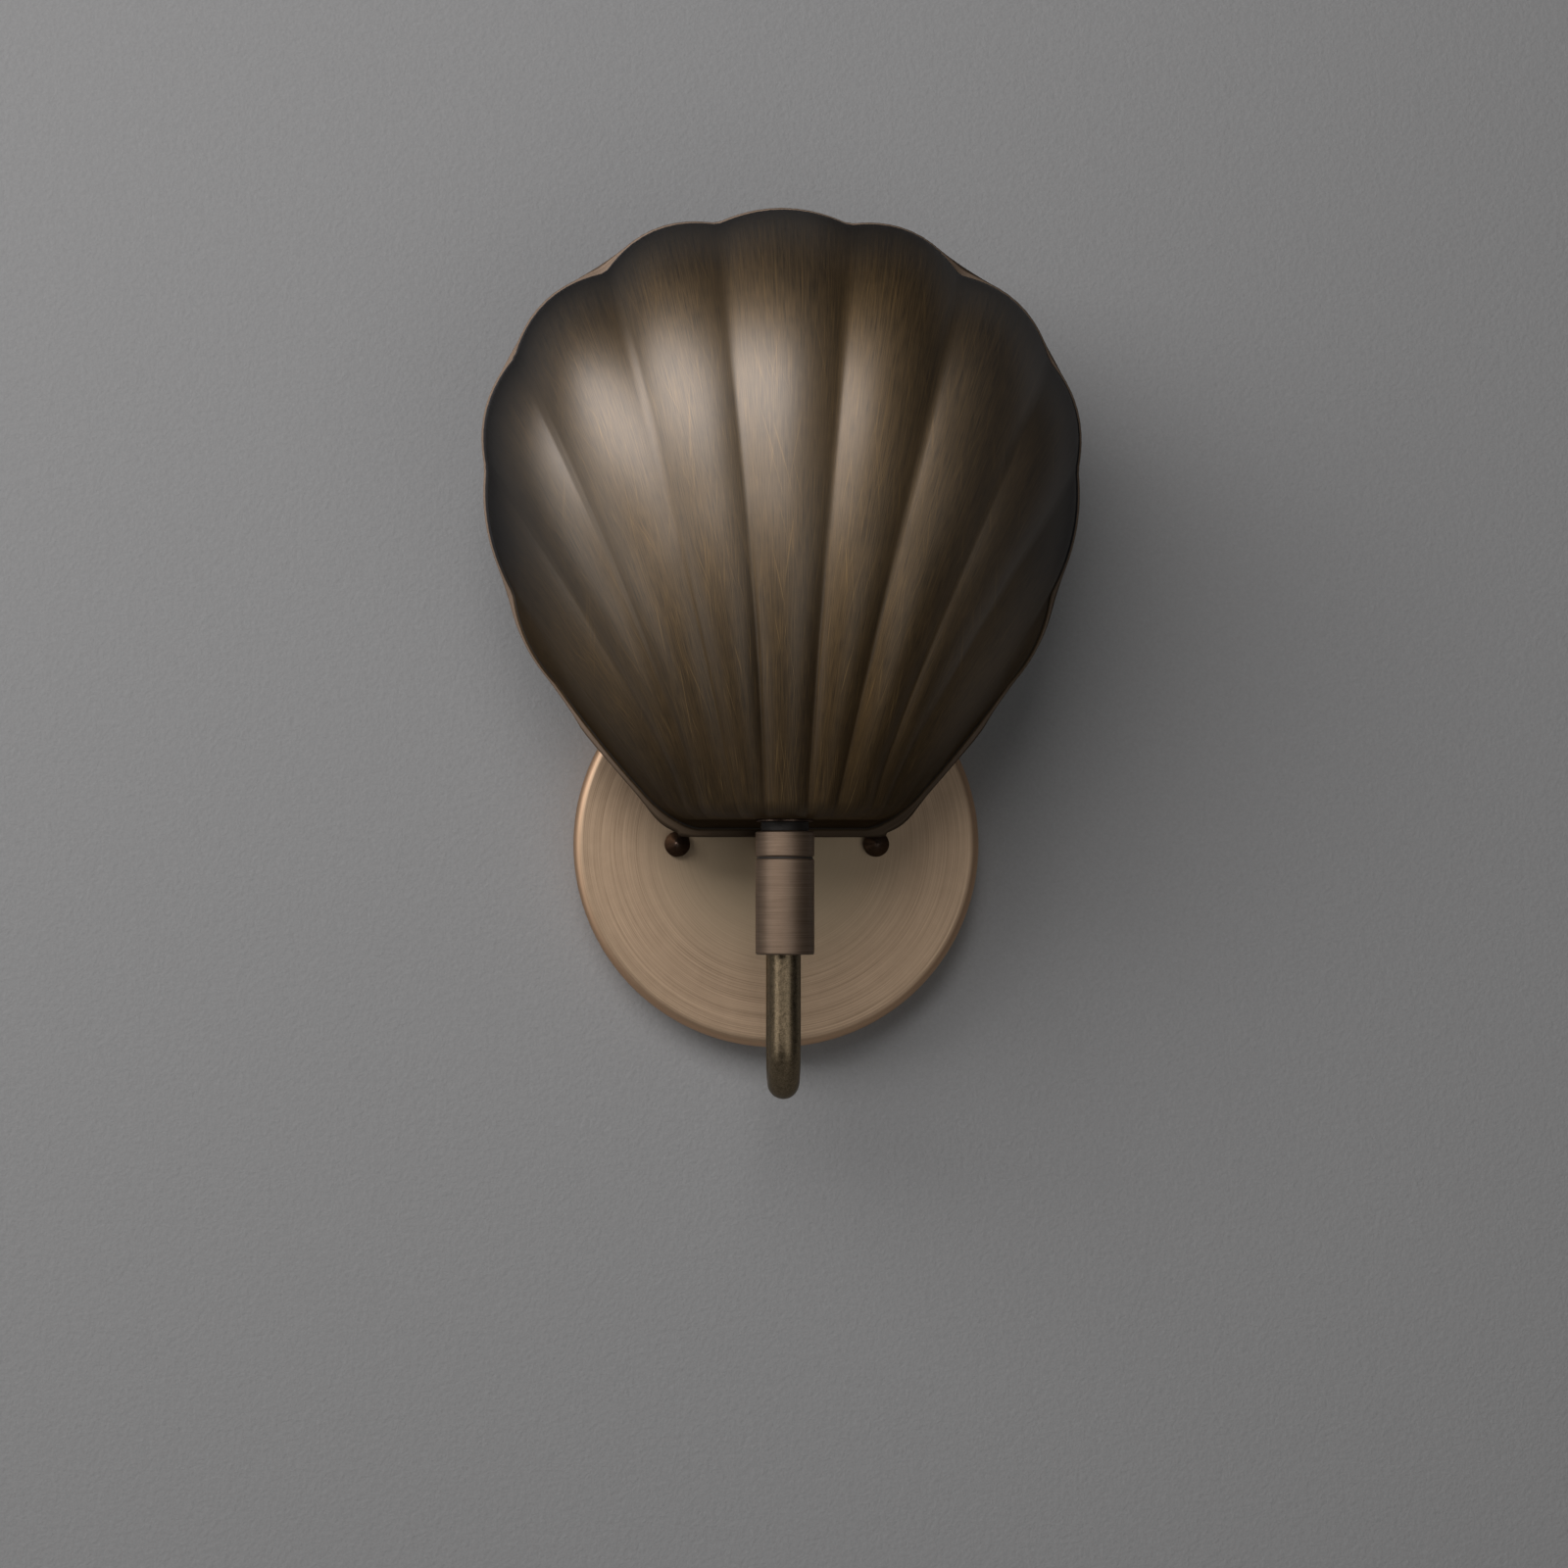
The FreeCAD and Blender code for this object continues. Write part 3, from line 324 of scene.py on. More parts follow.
@dataclass(frozen=True)
class ShadeBronze(Bronze):
    """The shade's bronze: golden and darker at the foot, with painted shade there; painted shade and
    darker patina along the rim; a painted highlight and painted shade on the lip.
    """

    golden: Colour = (1.6, 1.55, 1.25)  # shares of the light colour, on a hairline
    # darker and more golden towards the foot: the darkness is painted shade, the golden tone the
    # metal's own
    foot_dark: Colour = (0.014, 0.008, 0.003)
    foot_light: Colour = (0.145, 0.087, 0.031)
    foot_hair: Colour = (0.34, 0.220, 0.085)
    # painted shade and a painted dark reflection along the upper rim, where the sheet turns steep, over
    # darker patina
    rim_patina_and_shade: Colour = (0.020, 0.0196, 0.0205)
    # painted shade near the rim on the lower sides, browner, over darker patina
    lower_side_patina_and_shade: Colour = (0.040, 0.026, 0.014)
    # painted highlight: a lighter bluish line on the rim's fillet, where the sheet rolls out
    painted_bead_highlight: Colour = (0.085, 0.088, 0.092)
    # the lip's colours: a lighter copper as painted highlight, darker at its foot and on the right as
    # painted shade
    lip: Colour = (0.215, 0.158, 0.116)
    lip_foot: Colour = (0.080, 0.055, 0.034)
    lip_right_painted_shade: Colour = (0.070, 0.049, 0.032)
    scratch_turn: float = 38.0
    scratch_scale: float = 1300.0
    rim_off: float = 0.074
    depth: float = 0.065

    def stand_off(self, paint: Paint) -> Value:
        """Give how far a spot stands off the rim, as a share of the depth."""
        return (paint.place.y * -1.0 - self.rim_off) / self.depth

    def scratches(self, paint: Paint) -> Value:
        """Draw sparse fine scratches across the flutes, 0 beside one and up to 1 on one."""
        slanted = paint.node("ShaderNodeMapping", None, {
            "Vector": paint.place.vector,
            "Rotation": (0.0, math.radians(self.scratch_turn), 0.0),
            "Scale": (self.scratch_scale, 20.0, self.scratch_scale * 0.035)})
        return paint.noise(Value(paint, slanted.outputs[0]), 1.0, 2.0, 0.5).step(0.62, 0.80)

    def hairs(self, paint: Paint, fineness: float, slant: float, length: float,
              layer: float) -> Value:
        """Draw the noise of hairlines that run up the flutes, straight or a little askew.

        Args:
            paint: The material.
            fineness: How many lines there are across the shade.
            slant: How many lines a hair crosses on its way from the foot to the rim.
            length: How many hairs follow each other from the foot to the rim.
            layer: A number that keeps two sets of hairs apart.

        Returns:
            The noise, from 0 to 1.
        """
        along = paint.attribute("along")
        across = paint.attribute("across") * fineness + along * slant
        return paint.noise(paint.vector(across, along * length, layer), 1.0, 1.0, 0.5)

    def age_and_painted_light(self, paint: Paint, mask: Value, colour: Value) -> Value:
        """Draw the hairlines, the golden foot with its painted shade, the bands of painted shade and
        patina along the rim, the painted highlight on the rim's fillet and the lip's painted highlight
        and shade.

        Args:
            paint: The material.
            mask: 0 in a brush line to 1 beside it.
            colour: The brushed colour.

        Returns:
            The aged colour.
        """
        x, z, stand = paint.place.x, paint.place.z, self.stand_off(paint)
        along, lip = paint.attribute("along"), paint.attribute("lip")
        straight = self.hairs(paint, 1500.0, 0.0, 5.0, 4.0).step(0.60, 0.74)
        slanted = (self.hairs(paint, 900.0, 95.0, 6.0, 2.0).step(0.64, 0.76)
                   + self.hairs(paint, 900.0, -60.0, 6.0, 7.0).step(0.64, 0.76))
        slanted = slanted * (1.0 - along.step(0.40, 0.80) * 0.55)
        rubbed = self.scratches(paint) * 0.35 + straight * 0.4 + slanted * 0.55
        colour = paint.blend(rubbed, colour, scaled(self.light, self.golden))
        # the foot's colours: darker towards the foot as painted shade
        foot = paint.blend(mask, self.foot_dark, self.foot_light)
        foot = paint.blend(slanted * 0.5, foot, self.foot_hair)
        colour = paint.blend(along.step(0.05, 0.62), foot, colour)
        high = z.step(0.050, 0.100)
        # painted shade and dark reflection near the rim on the upper part, over darker patina
        colour = paint.blend((1.0 - stand.step(0.18, 0.95)) * high, colour, self.rim_patina_and_shade)
        low = (1.0 - stand.step(0.06, 0.60)) * (1.0 - high)
        # painted shade near the rim on the lower sides, over darker patina
        colour = paint.blend(low * 0.75, colour, self.lower_side_patina_and_shade)
        # painted highlight on the rim's fillet
        painted_bead_highlight = lip.step(0.02, 0.3) * (1.0 - lip.step(0.35, 0.7))
        colour = paint.blend(painted_bead_highlight * 0.7, colour, self.painted_bead_highlight)
        # lip colour: painted highlight, darker at the foot and on the right as painted shade
        edge = paint.blend(z.step(0.0, 0.045), self.lip_foot, self.lip)
        edge = paint.blend(x.step(0.0, 0.06) * 0.7, edge, self.lip_right_painted_shade)
        return paint.blend(lip.step(0.85, 1.0), colour, edge)

    def lacquer(self, paint: Paint) -> Value:
        """Wear the lacquer off towards the rim and the foot, partly as painted shade, and cut it beside
        the middle flute and near the top to dim the highlights there as painted shade.
        """
        x, z = paint.place.x, paint.place.z
        upper = paint.attribute("along").step(0.05, 0.72)
        # less lacquer near the rim and the foot: wear, and painted shade that dims the highlights
        kept = self.stand_off(paint).step(0.05, 0.80) * (upper * 0.70 + 0.30)
        # painted shade: highlights dimmed on the flutes right of the middle and near the top
        painted_highlight_dimming = (x.step(0.005, 0.018) * (1.0 - x.step(0.040, 0.060)) * 0.32
                + z.step(0.145, 0.180) * 0.26)
        return (kept * 0.92 + 0.08) * (1.0 - painted_highlight_dimming) * self.coat


@dataclass(frozen=True)
class Plain:
    """An even finish: metal, moulding or rubbery black."""

    name: str
    colour: Colour
    metal: float
    rough: float

    def material(self) -> bpy.types.Material:
        """Make the material, with a little unevenness in its gloss.

        Returns:
            The material.
        """
        paint = Paint(self.name)
        cloud = paint.noise(paint.place.vector, 160.0, 4.0, 0.6)
        dark = scaled(self.colour, (0.8, 0.8, 0.8))
        paint.set(Base_Color=paint.blend(cloud, dark, self.colour), Metallic=self.metal,
                  Roughness=cloud * 0.16 + (self.rough - 0.08))
        return paint.material


@dataclass(frozen=True)
class ClearGlass:
    """Clear glass."""

    name: str = "bulb_clear"

    def material(self) -> bpy.types.Material:
        """Make the material.

        Returns:
            The material.
        """
        paint = Paint(self.name)
        paint.set(Base_Color=(0.97, 0.97, 0.96), Roughness=0.02, IOR=1.45,
                  Transmission_Weight=1.0)
        return paint.material


Finish = Bronze | Plain | ClearGlass


class Finishes:
    """Every finish of the lamp, each made once."""

    SHADE = ShadeBronze("shade_bronze", (0.046, 0.029, 0.009), (0.205, 0.128, 0.052),
                        Grain.FLUTES, 0.60, coat=1.0, coat_rough=0.42, coat_ior=1.88)
    CANOPY = CanopyBronze("canopy_bronze", (0.285, 0.203, 0.132), (0.51, 0.378, 0.260),
                          Grain.FACE_RINGS, 0.52, contrast=1.15)
    ARM = Bronze("arm_bronze", (0.090, 0.068, 0.039), (0.30, 0.232, 0.146), Grain.DRAWN, 0.37)
    SWIVEL = Bronze("swivel_bronze", (0.140, 0.098, 0.067), (0.30, 0.220, 0.160),
                    Grain.TURNED, 0.60)
    CAP = Bronze("dark_bronze", (0.045, 0.030, 0.022), (0.15, 0.100, 0.074), Grain.DRAWN, 0.38)
    BLACK = Plain("black_collar", (0.012, 0.008, 0.005), 0.0, 0.60)
    ZINC = Plain("zinc_steel", (0.52, 0.52, 0.50), 1.0, 0.38)
    GREEN = Plain("ground_green", (0.03, 0.20, 0.06), 0.6, 0.40)
    SPUN = Plain("socket_metal", (0.40, 0.36, 0.29), 1.0, 0.40)
    PHENOLIC = Plain("socket_black", (0.016, 0.015, 0.014), 0.0, 0.45)
    BRASS = Plain("socket_brass", (0.62, 0.44, 0.18), 1.0, 0.30)
    NICKEL = Plain("bulb_nickel", (0.60, 0.57, 0.52), 1.0, 0.26)
    INSULATOR = Plain("bulb_insulation", (0.012, 0.012, 0.015), 0.0, 0.18)
    FILAMENT = Plain("filament", (0.80, 0.52, 0.14), 0.0, 0.50)
    GLASS = ClearGlass()

    def __init__(self) -> None:
        """Start with none made."""
        self.made: dict[str, bpy.types.Material] = {}

    def get(self, finish: Finish) -> bpy.types.Material:
        """Give a finish's material, made when it is first asked for."""
        if finish.name not in self.made:
            self.made[finish.name] = finish.material()
        return self.made[finish.name]


def smooth_step(low: float, high: float, at: float) -> float:
    """Rise smoothly from 0 at low to 1 at high."""
    share = min(1.0, max(0.0, (at - low) / (high - low)))
    return share * share * (3.0 - 2.0 * share)


def finish_mesh(bm: bmesh.types.BMesh, name: str, sharp: float = 35.0) -> bpy.types.Object:
    """Make a bmesh an object, smooth but for its sharp edges.

    Args:
        bm: The bmesh, which is freed.
        name: The piece's name.
        sharp: The angle in degrees from which an edge stays sharp.

    Returns:
        The object.
    """
    for face in bm.faces:
        face.smooth = True
    mesh = bpy.data.meshes.new(name)
    bm.to_mesh(mesh)
    bm.free()
    mesh.set_sharp_from_angle(angle=math.radians(sharp))
    piece = bpy.data.objects.new(name, mesh)
    bpy.context.scene.collection.objects.link(piece)
    return piece


def extrude_ring(bm: bmesh.types.BMesh, edges: list) -> tuple[list, list]:
    """Extrude an open ring of edges.

    Args:
        bm: The bmesh.
        edges: The ring.

    Returns:
        The new ring's edges and its vertices.
    """
    drawn = bmesh.ops.extrude_edge_only(bm, edges=edges)["geom"]
    edges = [item for item in drawn
             if isinstance(item, bmesh.types.BMEdge) and len(item.link_faces) == 1]
    return edges, list({vert for edge in edges for vert in edge.verts})


def finish_sheet(bm: bmesh.types.BMesh, name: str, axis: int, wall: float,
                 sharp: float) -> bpy.types.Object:
    """Make an open surface in millimetres an object with a wall that grows inwards.

    Args:
        bm: The surface's bmesh, which is freed.
        name: The piece's name.
        axis: The axis, 0 to 2, along which the face that lies lowest has to look back.
        wall: How thick the wall is, in millimetres.
        sharp: The angle in degrees from which an edge stays sharp.

    Returns:
        The object.
    """
    bmesh.ops.recalc_face_normals(bm, faces=bm.faces)
    lowest = min(bm.faces, key=lambda face: face.calc_center_median()[axis])
    if lowest.normal[axis] > 0.0:
        bmesh.ops.reverse_faces(bm, faces=bm.faces)
    bmesh.ops.scale(bm, vec=(MM, MM, MM), verts=bm.verts)
    piece = finish_mesh(bm, name, sharp)
    sheet = piece.modifiers.new("wall", "SOLIDIFY")
    sheet.thickness = wall * MM
    sheet.offset = -1.0
    return piece


def spin_outline(outline: Outline, turned: Turned, centre: Vector, steps: int,
                 bevel: float) -> bmesh.types.BMesh:
    """Spin a closed outline of (radius, height) in millimetres about its axis.

    Args:
        outline: The outline's corners.
        turned: Which way the axis points.
        centre: Where height 0 of the axis lies, in metres.
        steps: How many steps make the full turn.
        bevel: How wide the sharp edges are rounded, in millimetres.

    Returns:
        The turned shape.
    """
    bm = bmesh.new()
    verts = [bm.verts.new((radius * MM, 0.0, height * MM)) for radius, height in outline]
    edges = [bm.edges.new((verts[i], verts[(i + 1) % len(verts)])) for i in range(len(verts))
             if max(outline[i][0], outline[(i + 1) % len(verts)][0]) > 0.0]
    bmesh.ops.spin(bm, geom=verts + edges, cent=(0, 0, 0), axis=(0, 0, 1), dvec=(0, 0, 0),
                   angle=math.tau, steps=steps, use_merge=True, use_duplicate=False)
    bmesh.ops.remove_doubles(bm, verts=bm.verts, dist=1e-7)
    loose = [vert for vert in bm.verts if not vert.link_faces]
    bmesh.ops.delete(bm, geom=loose, context="VERTS")
    bmesh.ops.recalc_face_normals(bm, faces=bm.faces)
    if bevel > 0.0:
        corners = [edge for edge in bm.edges if edge.calc_face_angle(0.0) > math.radians(38)]
        bmesh.ops.bevel(bm, geom=corners, offset=bevel * MM, segments=3, profile=0.5,
                        affect="EDGES", material=-1, clamp_overlap=True)
    turn = Matrix.Rotation(math.radians(90), 4, "X") if turned is Turned.OFF_WALL else Matrix()
    bmesh.ops.transform(bm, matrix=Matrix.Translation(centre) @ turn, verts=bm.verts)
    return bm


class Sizes:
    """The sizes of a sub-assembly."""


class Assembly:
    """What every sub-assembly shares: finishes, sizes, and how a piece is made and dressed."""

    body = "bracket"
    usual: type[Sizes] = Sizes

    def __init__(self, finishes: Finishes, sizes: Sizes | None = None) -> None:
        """Keep the finishes and the sizes.

        Args:
            finishes: The lamp's finishes.
            sizes: The sizes, or None for the usual ones.
        """
        self.finishes = finishes
        self.sizes = sizes or self.usual()

    def dress(self, piece: bpy.types.Object, finish: Finish, node: str) -> None:
        """Give a new piece its finish and body, and let it stand for a CAD node.

        Args:
            piece: The piece.
            finish: Its finish.
            node: The CAD node that it stands for.
        """
        piece.data.materials.clear()
        piece.data.materials.append(self.finishes.get(finish))
        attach(piece, self.body)
        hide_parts(node)
        LOG.info("%s stands for %s", piece.name, node)

    def paint_nodes(self, finish: Finish, *nodes: str) -> None:
        """Give CAD nodes that are shown as they are a finish.

        Args:
            finish: Their finish.
            nodes: Their names.
        """
        for node in nodes:
            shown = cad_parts[node]
            shown.data.materials.clear()
            shown.data.materials.append(self.finishes.get(finish))
            LOG.info("%s is shown as packed", node)

    def turn(self, name: str, node: str, outline: Outline, finish: Finish, bevel: float,
             steps: int = 96, turned: Turned = Turned.UP, centre: Vector = AXIS) -> None:
        """Turn a piece, give it crisp but rounded edges, and dress it.

        Args:
            name: The piece's name.
            node: The CAD node that it stands for.
            outline: Its closed outline in millimetres.
            finish: Its finish.
            bevel: How far its edges are rounded, in millimetres.
            steps: How many steps make the full turn.
            turned: Which way its axis points.
            centre: Where its axis starts, in metres.
        """
        piece = finish_mesh(spin_outline(outline, turned, centre, steps, bevel), name)
        piece.modifiers.new("even_normals", "WEIGHTED_NORMAL").keep_sharp = True
        self.dress(piece, finish, node)


def cubic(poles: Sequence[float], share: float) -> float:
    """Give a cubic's value from its four poles."""
    rest = 1.0 - share
    weights = (rest ** 3, 3 * rest ** 2 * share, 3 * rest * share ** 2, share ** 3)
    return sum(weight * pole for weight, pole in zip(weights, poles))


@dataclass
class Groove:
    """One groove of the shade, on its right half, in shares of the shade's sizes."""

    across: tuple[float, float, float, float]
    up: tuple[float, float, float, float]
    foot: float
    crest: float


@dataclass
class ShadeSizes(Sizes):
    """The shade's sizes in millimetres, and its form in shares of them."""

    half_width: float = 96.5
    height: float = 196.0
    depth: float = 65.0
    floor: float = 7.0
    rim: float = -72.0
    sheet: float = 1.0
    fillet: float = 1.2
    fillet_steps: int = 4
    lip: float = 4.2
    lip_drop: float = 5.46  # how far it hangs below the floor
    least_lip: float = 0.3
    rise: float = 0.108  # a flute's arch, as a share of its chord
    highest: float = 0.52  # where along its length a groove stands off farthest
    fall: float = 2.6  # how squarely it falls from there to the rim
    foot_round: float = 5.2
    foot_growth: float = 0.75  # how much larger the rounding is at the open back
    foot_sag: float = 2.4
    foot_zone: float = 12.0  # how far the sag reaches forwards and up
    foot_fullness: float = 0.85
    foot_fades: tuple[float, float] = (0.10, 0.55)  # where along a flute that fullness fades
    rim_starts: float = 0.72  # where along a flute the rim's own arch starts
    level_ends: float = 0.14  # by here a flute's arch has turned from level to square on
    evening: float = 0.62  # how far columns are drawn towards the grooves
    crease: float = 0.92  # from here out a flute's arch turns into its groove
    core: float = 0.45  # how high the middle lies that arches point away from
    hole: float = 4.85
    flute_steps: int = 16
    rows: int = 110
    heel_cuts: int = 30
    floor_rings: tuple[float, ...] = (0.06, 0.12, 0.2, 0.35, 0.5, 1.0)
    lip_rings: tuple[float, ...] = (0.5, 1.0)
    groove_lips: tuple[float, ...] = (0.31, 0.98, 0.64, 0.36, 0.65)
    flute_lips: tuple[float, ...] = (0.05, 0.12, 0.18, 0.15, 0.20, 0.38)
    grooves: tuple[Groove, ...] = (
        Groove((0.070, 0.093, 0.171, 0.224), (0.0, 0.330, 0.668, 1.000), 0.610, 1.000),
        Groove((0.159, 0.270, 0.435, 0.601), (0.0, 0.281, 0.602, 0.918), 0.580, 0.945),
        Groove((0.278, 0.363, 0.663, 0.907), (0.0, 0.194, 0.500, 0.776), 0.465, 0.800),
        Groove((0.326, 0.394, 0.746, 1.000), (0.0, 0.128, 0.398, 0.592), 0.360, 0.615),
        Groove((0.361, 0.466, 0.725, 0.912), (0.0, 0.077, 0.240, 0.383), 0.210, 0.350),
        Groove((0.373, 0.487, 0.636, 0.768), (0.0, 0.051, 0.138, 0.232), 0.000, 0.000),
    )
    fullness: tuple[float, ...] = (0.3, 0.5, 0.75, 0.95, 1.0, 1.0, 1.0, 0.95, 0.75, 0.5, 0.3)
    rim_fullness: tuple[float, ...] = (0.78, 0.75, 1.15, 1.42, 1.46, 1.10, 1.46, 1.42, 1.15,
                                       0.75, 0.78)
    lip_foot: tuple[tuple[float, float, float], ...] = (  # shares of half_width, height, drop
        (0.731, 0.1895, 0.0), (0.664, 0.1395, 0.0), (0.50, 0.045, 0.0), (0.425, 0.0, 0.02),
        (0.36, 0.0, 0.72), (0.29, 0.0, 1.0))

    @property
    def flutes(self) -> int:
        """Give how many flutes there are."""
        return len(self.fullness)

    @property
    def wall_end(self) -> float:
        """Give where the skin ends and the rim's fillet starts."""
        return self.rim - self.sheet - self.fillet


class Shade(Assembly):
    """The fluted sheet shade with its rolled-out lip and flat floor."""

    body = "shade_head"
    usual = ShadeSizes
    sizes: ShadeSizes

    def stand_off(self, groove: Groove, share: float) -> float:
        """Give how far a groove stands off the rim plane, as a share of the depth.

        Args:
            groove: The groove.
            share: How far along it, from the floor (0) to the rim (1).

        Returns:
            The share: a rise to the crest, then a steep fall.
        """
        top = self.sizes.highest
        if share <= top:
            rise = math.sin(0.5 * math.pi * share / top)
            return groove.foot + (groove.crest - groove.foot) * rise
        fall = max(0.0, 1.0 - ((share - top) / (1.0 - top)) ** self.sizes.fall)
        return groove.crest * math.sqrt(fall)

    def groove_point(self, index: int, share: float) -> Vector:
        """Give a point of a groove in millimetres.

        Args:
            index: The groove, counted from the left edge.
            share: How far along it.

        Returns:
            The point.
        """
        sizes = self.sizes
        half = len(sizes.grooves)
        side = -1.0 if index < half else 1.0
        groove = sizes.grooves[half - 1 - index if index < half else index - half]
        depth = sizes.depth - sizes.sheet - sizes.fillet
        return Vector((side * sizes.half_width * cubic(groove.across, share),
                       sizes.wall_end - depth * self.stand_off(groove, share),
                       sizes.floor + sizes.height * cubic(groove.up, share)))

    def arch(self, flute: int, share: float) -> float:
        """Give how high a flute arches at a share of its length, as a share of its chord."""
        sizes = self.sizes
        full, at_rim = sizes.fullness[flute], sizes.rim_fullness[flute]
        foot = 1.0 + sizes.foot_fullness * (1.0 - smooth_step(*sizes.foot_fades, share))
        calm = smooth_step(sizes.rim_starts, 1.0, share)
        return sizes.rise * (full * foot + (at_rim - full) * calm)

    def near_back(self, at: float) -> float:
        """Rise from 0 to 1 towards the open back, from a place along Y."""
        return smooth_step(self.sizes.wall_end - self.sizes.foot_zone, self.sizes.wall_end, at)

    def rounded(self, spot: Vector) -> Vector:
        """Round the foot of the skin into the floor, and let the floor sag to the lip.

        Args:
            spot: A point of the skin.

        Returns:
            The point, drawn in near the floor and let down near the open back.
        """
        sizes = self.sizes
        height = max(0.0, spot.z - sizes.floor)
        nearness = self.near_back(spot.y)
        size = sizes.foot_round * (1.0 + sizes.foot_growth * nearness)
        arm = Vector((spot.x, spot.y - sizes.wall_end, 0.0))
        moved = spot.copy()
        if height < size and arm.length > 1e-6:
            inset = size - math.sqrt(max(0.0, size ** 2 - (size - height) ** 2))
            moved -= arm.normalized() * inset
        fall = max(0.0, 1.0 - height / sizes.foot_zone)
        moved.z -= sizes.foot_sag * fall * fall * nearness * nearness
        return moved

    def skin_point(self, across: float, along: float) -> Vector:
        """Give a point of the fluted skin in millimetres.

        Args:
            across: From the left edge (0) to the right (1).
            along: From the floor (0) to the rim (1).

        Returns:
            The point.
        """
        sizes = self.sizes
        flute = min(sizes.flutes - 1, int(across * sizes.flutes + 1e-9))
        part = across * sizes.flutes - flute
        part -= sizes.evening * math.sin(math.tau * part) / math.tau
        start, end = self.groove_point(flute, along), self.groove_point(flute + 1, along)
        low, high = max(0.0, along - 0.01), min(1.0, along + 0.01)
        course = (self.groove_point(flute, high) + self.groove_point(flute + 1, high)
                  - self.groove_point(flute, low) - self.groove_point(flute + 1, low))
        chord = end - start
        level = Vector((chord.y, -chord.x, 0.0)).normalized()
        out = chord.cross(course).normalized()
        middle = (start + end) * 0.5
        core = Vector((0.0, sizes.wall_end, sizes.floor + sizes.core * sizes.height))
        out = -out if out.dot(middle - core) < 0.0 else out
        level = -level if level.dot(middle - core) < 0.0 else level
        out = level.lerp(out, smooth_step(0.0, sizes.level_ends, along)).normalized()
        side = abs(2.0 * part - 1.0)
        outermost = (flute == 0 and part < 0.5) or (flute == sizes.flutes - 1 and part > 0.5)
        height = 1.0 - side * side
        if side > sizes.crease and not outermost:
            rest = 1.0 - sizes.crease
            height = rest + sizes.crease * (1.0 - side) ** 2 / rest
        full = self.arch(flute, along) * chord.length
        return self.rounded(start.lerp(end, part) + out * (full * height))

    def lip_reach(self) -> Callable[[float], float]:
        """Draw the lip's outline and give its reach from the middle of the rim by angle.

        Returns:
            A function from an angle in the rim plane to a distance in millimetres.
        """
        sizes = self.sizes
        middle = Vector((0.0, 0.0, sizes.floor + 0.5 * sizes.height))
        spots = []
        for flute in range(sizes.flutes):
            start, end = self.groove_point(flute, 1.0), self.groove_point(flute + 1, 1.0)
            start.y = end.y = 0.0
            chord = end - start
            out = Vector((chord.z, 0.0, -chord.x)).normalized()
            out = -out if out.dot((start + end) * 0.5 - middle) < 0.0 else out
            if flute > 0:
                past = sizes.groove_lips[abs(2 * flute - sizes.flutes) // 2] * sizes.lip
                spots.append(start + (start - middle).normalized() * past)
            full = self.arch(flute, 1.0) * chord.length
            past = sizes.flute_lips[abs(flute - sizes.flutes // 2)] * sizes.lip
            spots.append((start + end) * 0.5 + out * (full + past))
        foot = [Vector((side * sizes.half_width, 0.0,
                        sizes.floor + up * sizes.height - down * sizes.lip_drop))
                for side, up, down in sizes.lip_foot]
        mirrored = [Vector((-spot.x, 0.0, spot.z)) for spot in foot]
        spots = [*mirrored[::-1], *spots, *foot]
        first, last = spots[0], spots[-1]
        ring = smooth_line(spots, 12, last, first) + smooth_line((last, first), 12)
        polar = sorted((math.atan2(spot.x, spot.z - middle.z), (spot - middle).length)
                       for spot in ring)

        def reach(angle: float) -> float:
            """Look up the outline's distance at an angle."""
            before = polar[-1][0] - math.tau, polar[-1][1]
            for spot in [*polar, (polar[0][0] + math.tau, polar[0][1])]:
                if spot[0] >= angle:
                    share = (angle - before[0]) / max(1e-9, spot[0] - before[0])
                    return before[1] + share * (spot[1] - before[1])
                before = spot
            return before[1]

        return reach

    def build(self) -> None:
        """Raise the skin from a flat grid, then its floor and its lip."""
        sizes = self.sizes
        bm = bmesh.new()
        columns = sizes.flutes * sizes.flute_steps
        bmesh.ops.create_grid(bm, x_segments=columns, y_segments=sizes.rows, size=0.5)
        at_across, at_along, at_lip = (bm.verts.layers.float.new(name)
                                       for name in ("across", "along", "lip"))
        corners = []
        for vert in bm.verts:
            across, row = vert.co.x + 0.5, vert.co.y + 0.5
            along = 0.5 * (1.0 - math.cos(math.pi * row))
            if row < 1e-6 and (across < 1e-6 or across > 1.0 - 1e-6):
                corners.append(vert)
            vert.co = self.skin_point(across, along)
            vert[at_across], vert[at_along] = across, along
        heel = bmesh.ops.contextual_create(bm, geom=corners)["edges"]
        bmesh.ops.subdivide_edges(bm, edges=heel, cuts=sizes.heel_cuts)
        free = [edge for edge in bm.edges if not edge.link_faces]
        border = [edge for edge in bm.edges if len(edge.link_faces) == 1]
        low = [edge for edge in border if all(vert[at_along] < 1e-6 for vert in edge.verts)]
        rim = [edge for edge in border if edge not in low]
        self.add_floor(bm, free + low)
        self.add_lip(bm, free + rim, at_lip)
        piece = finish_sheet(bm, "fluted_shade", 1, sizes.sheet, 50.0)
        self.dress(piece, Finishes.SHADE, "shade_shell")

    def add_floor(self, bm: bmesh.types.BMesh, edges: list) -> None:
        """Draw the floor in from the skin's foot to the neck's hole.

        Args:
            bm: The shade's bmesh.
            edges: The closed ring round the floor.
        """
        sizes = self.sizes
        centre = Vector((0.0, AXIS.y / MM, sizes.floor))
        for share in sizes.floor_rings:
            edges, verts = extrude_ring(bm, edges)
            for vert in verts:
                arm = vert.co - centre
                arm.z = 0.0
                vert.co = vert.co.lerp(centre + arm.normalized() * sizes.hole, share)
                vert.co.z = sizes.floor - sizes.foot_sag * self.near_back(vert.co.y) ** 2

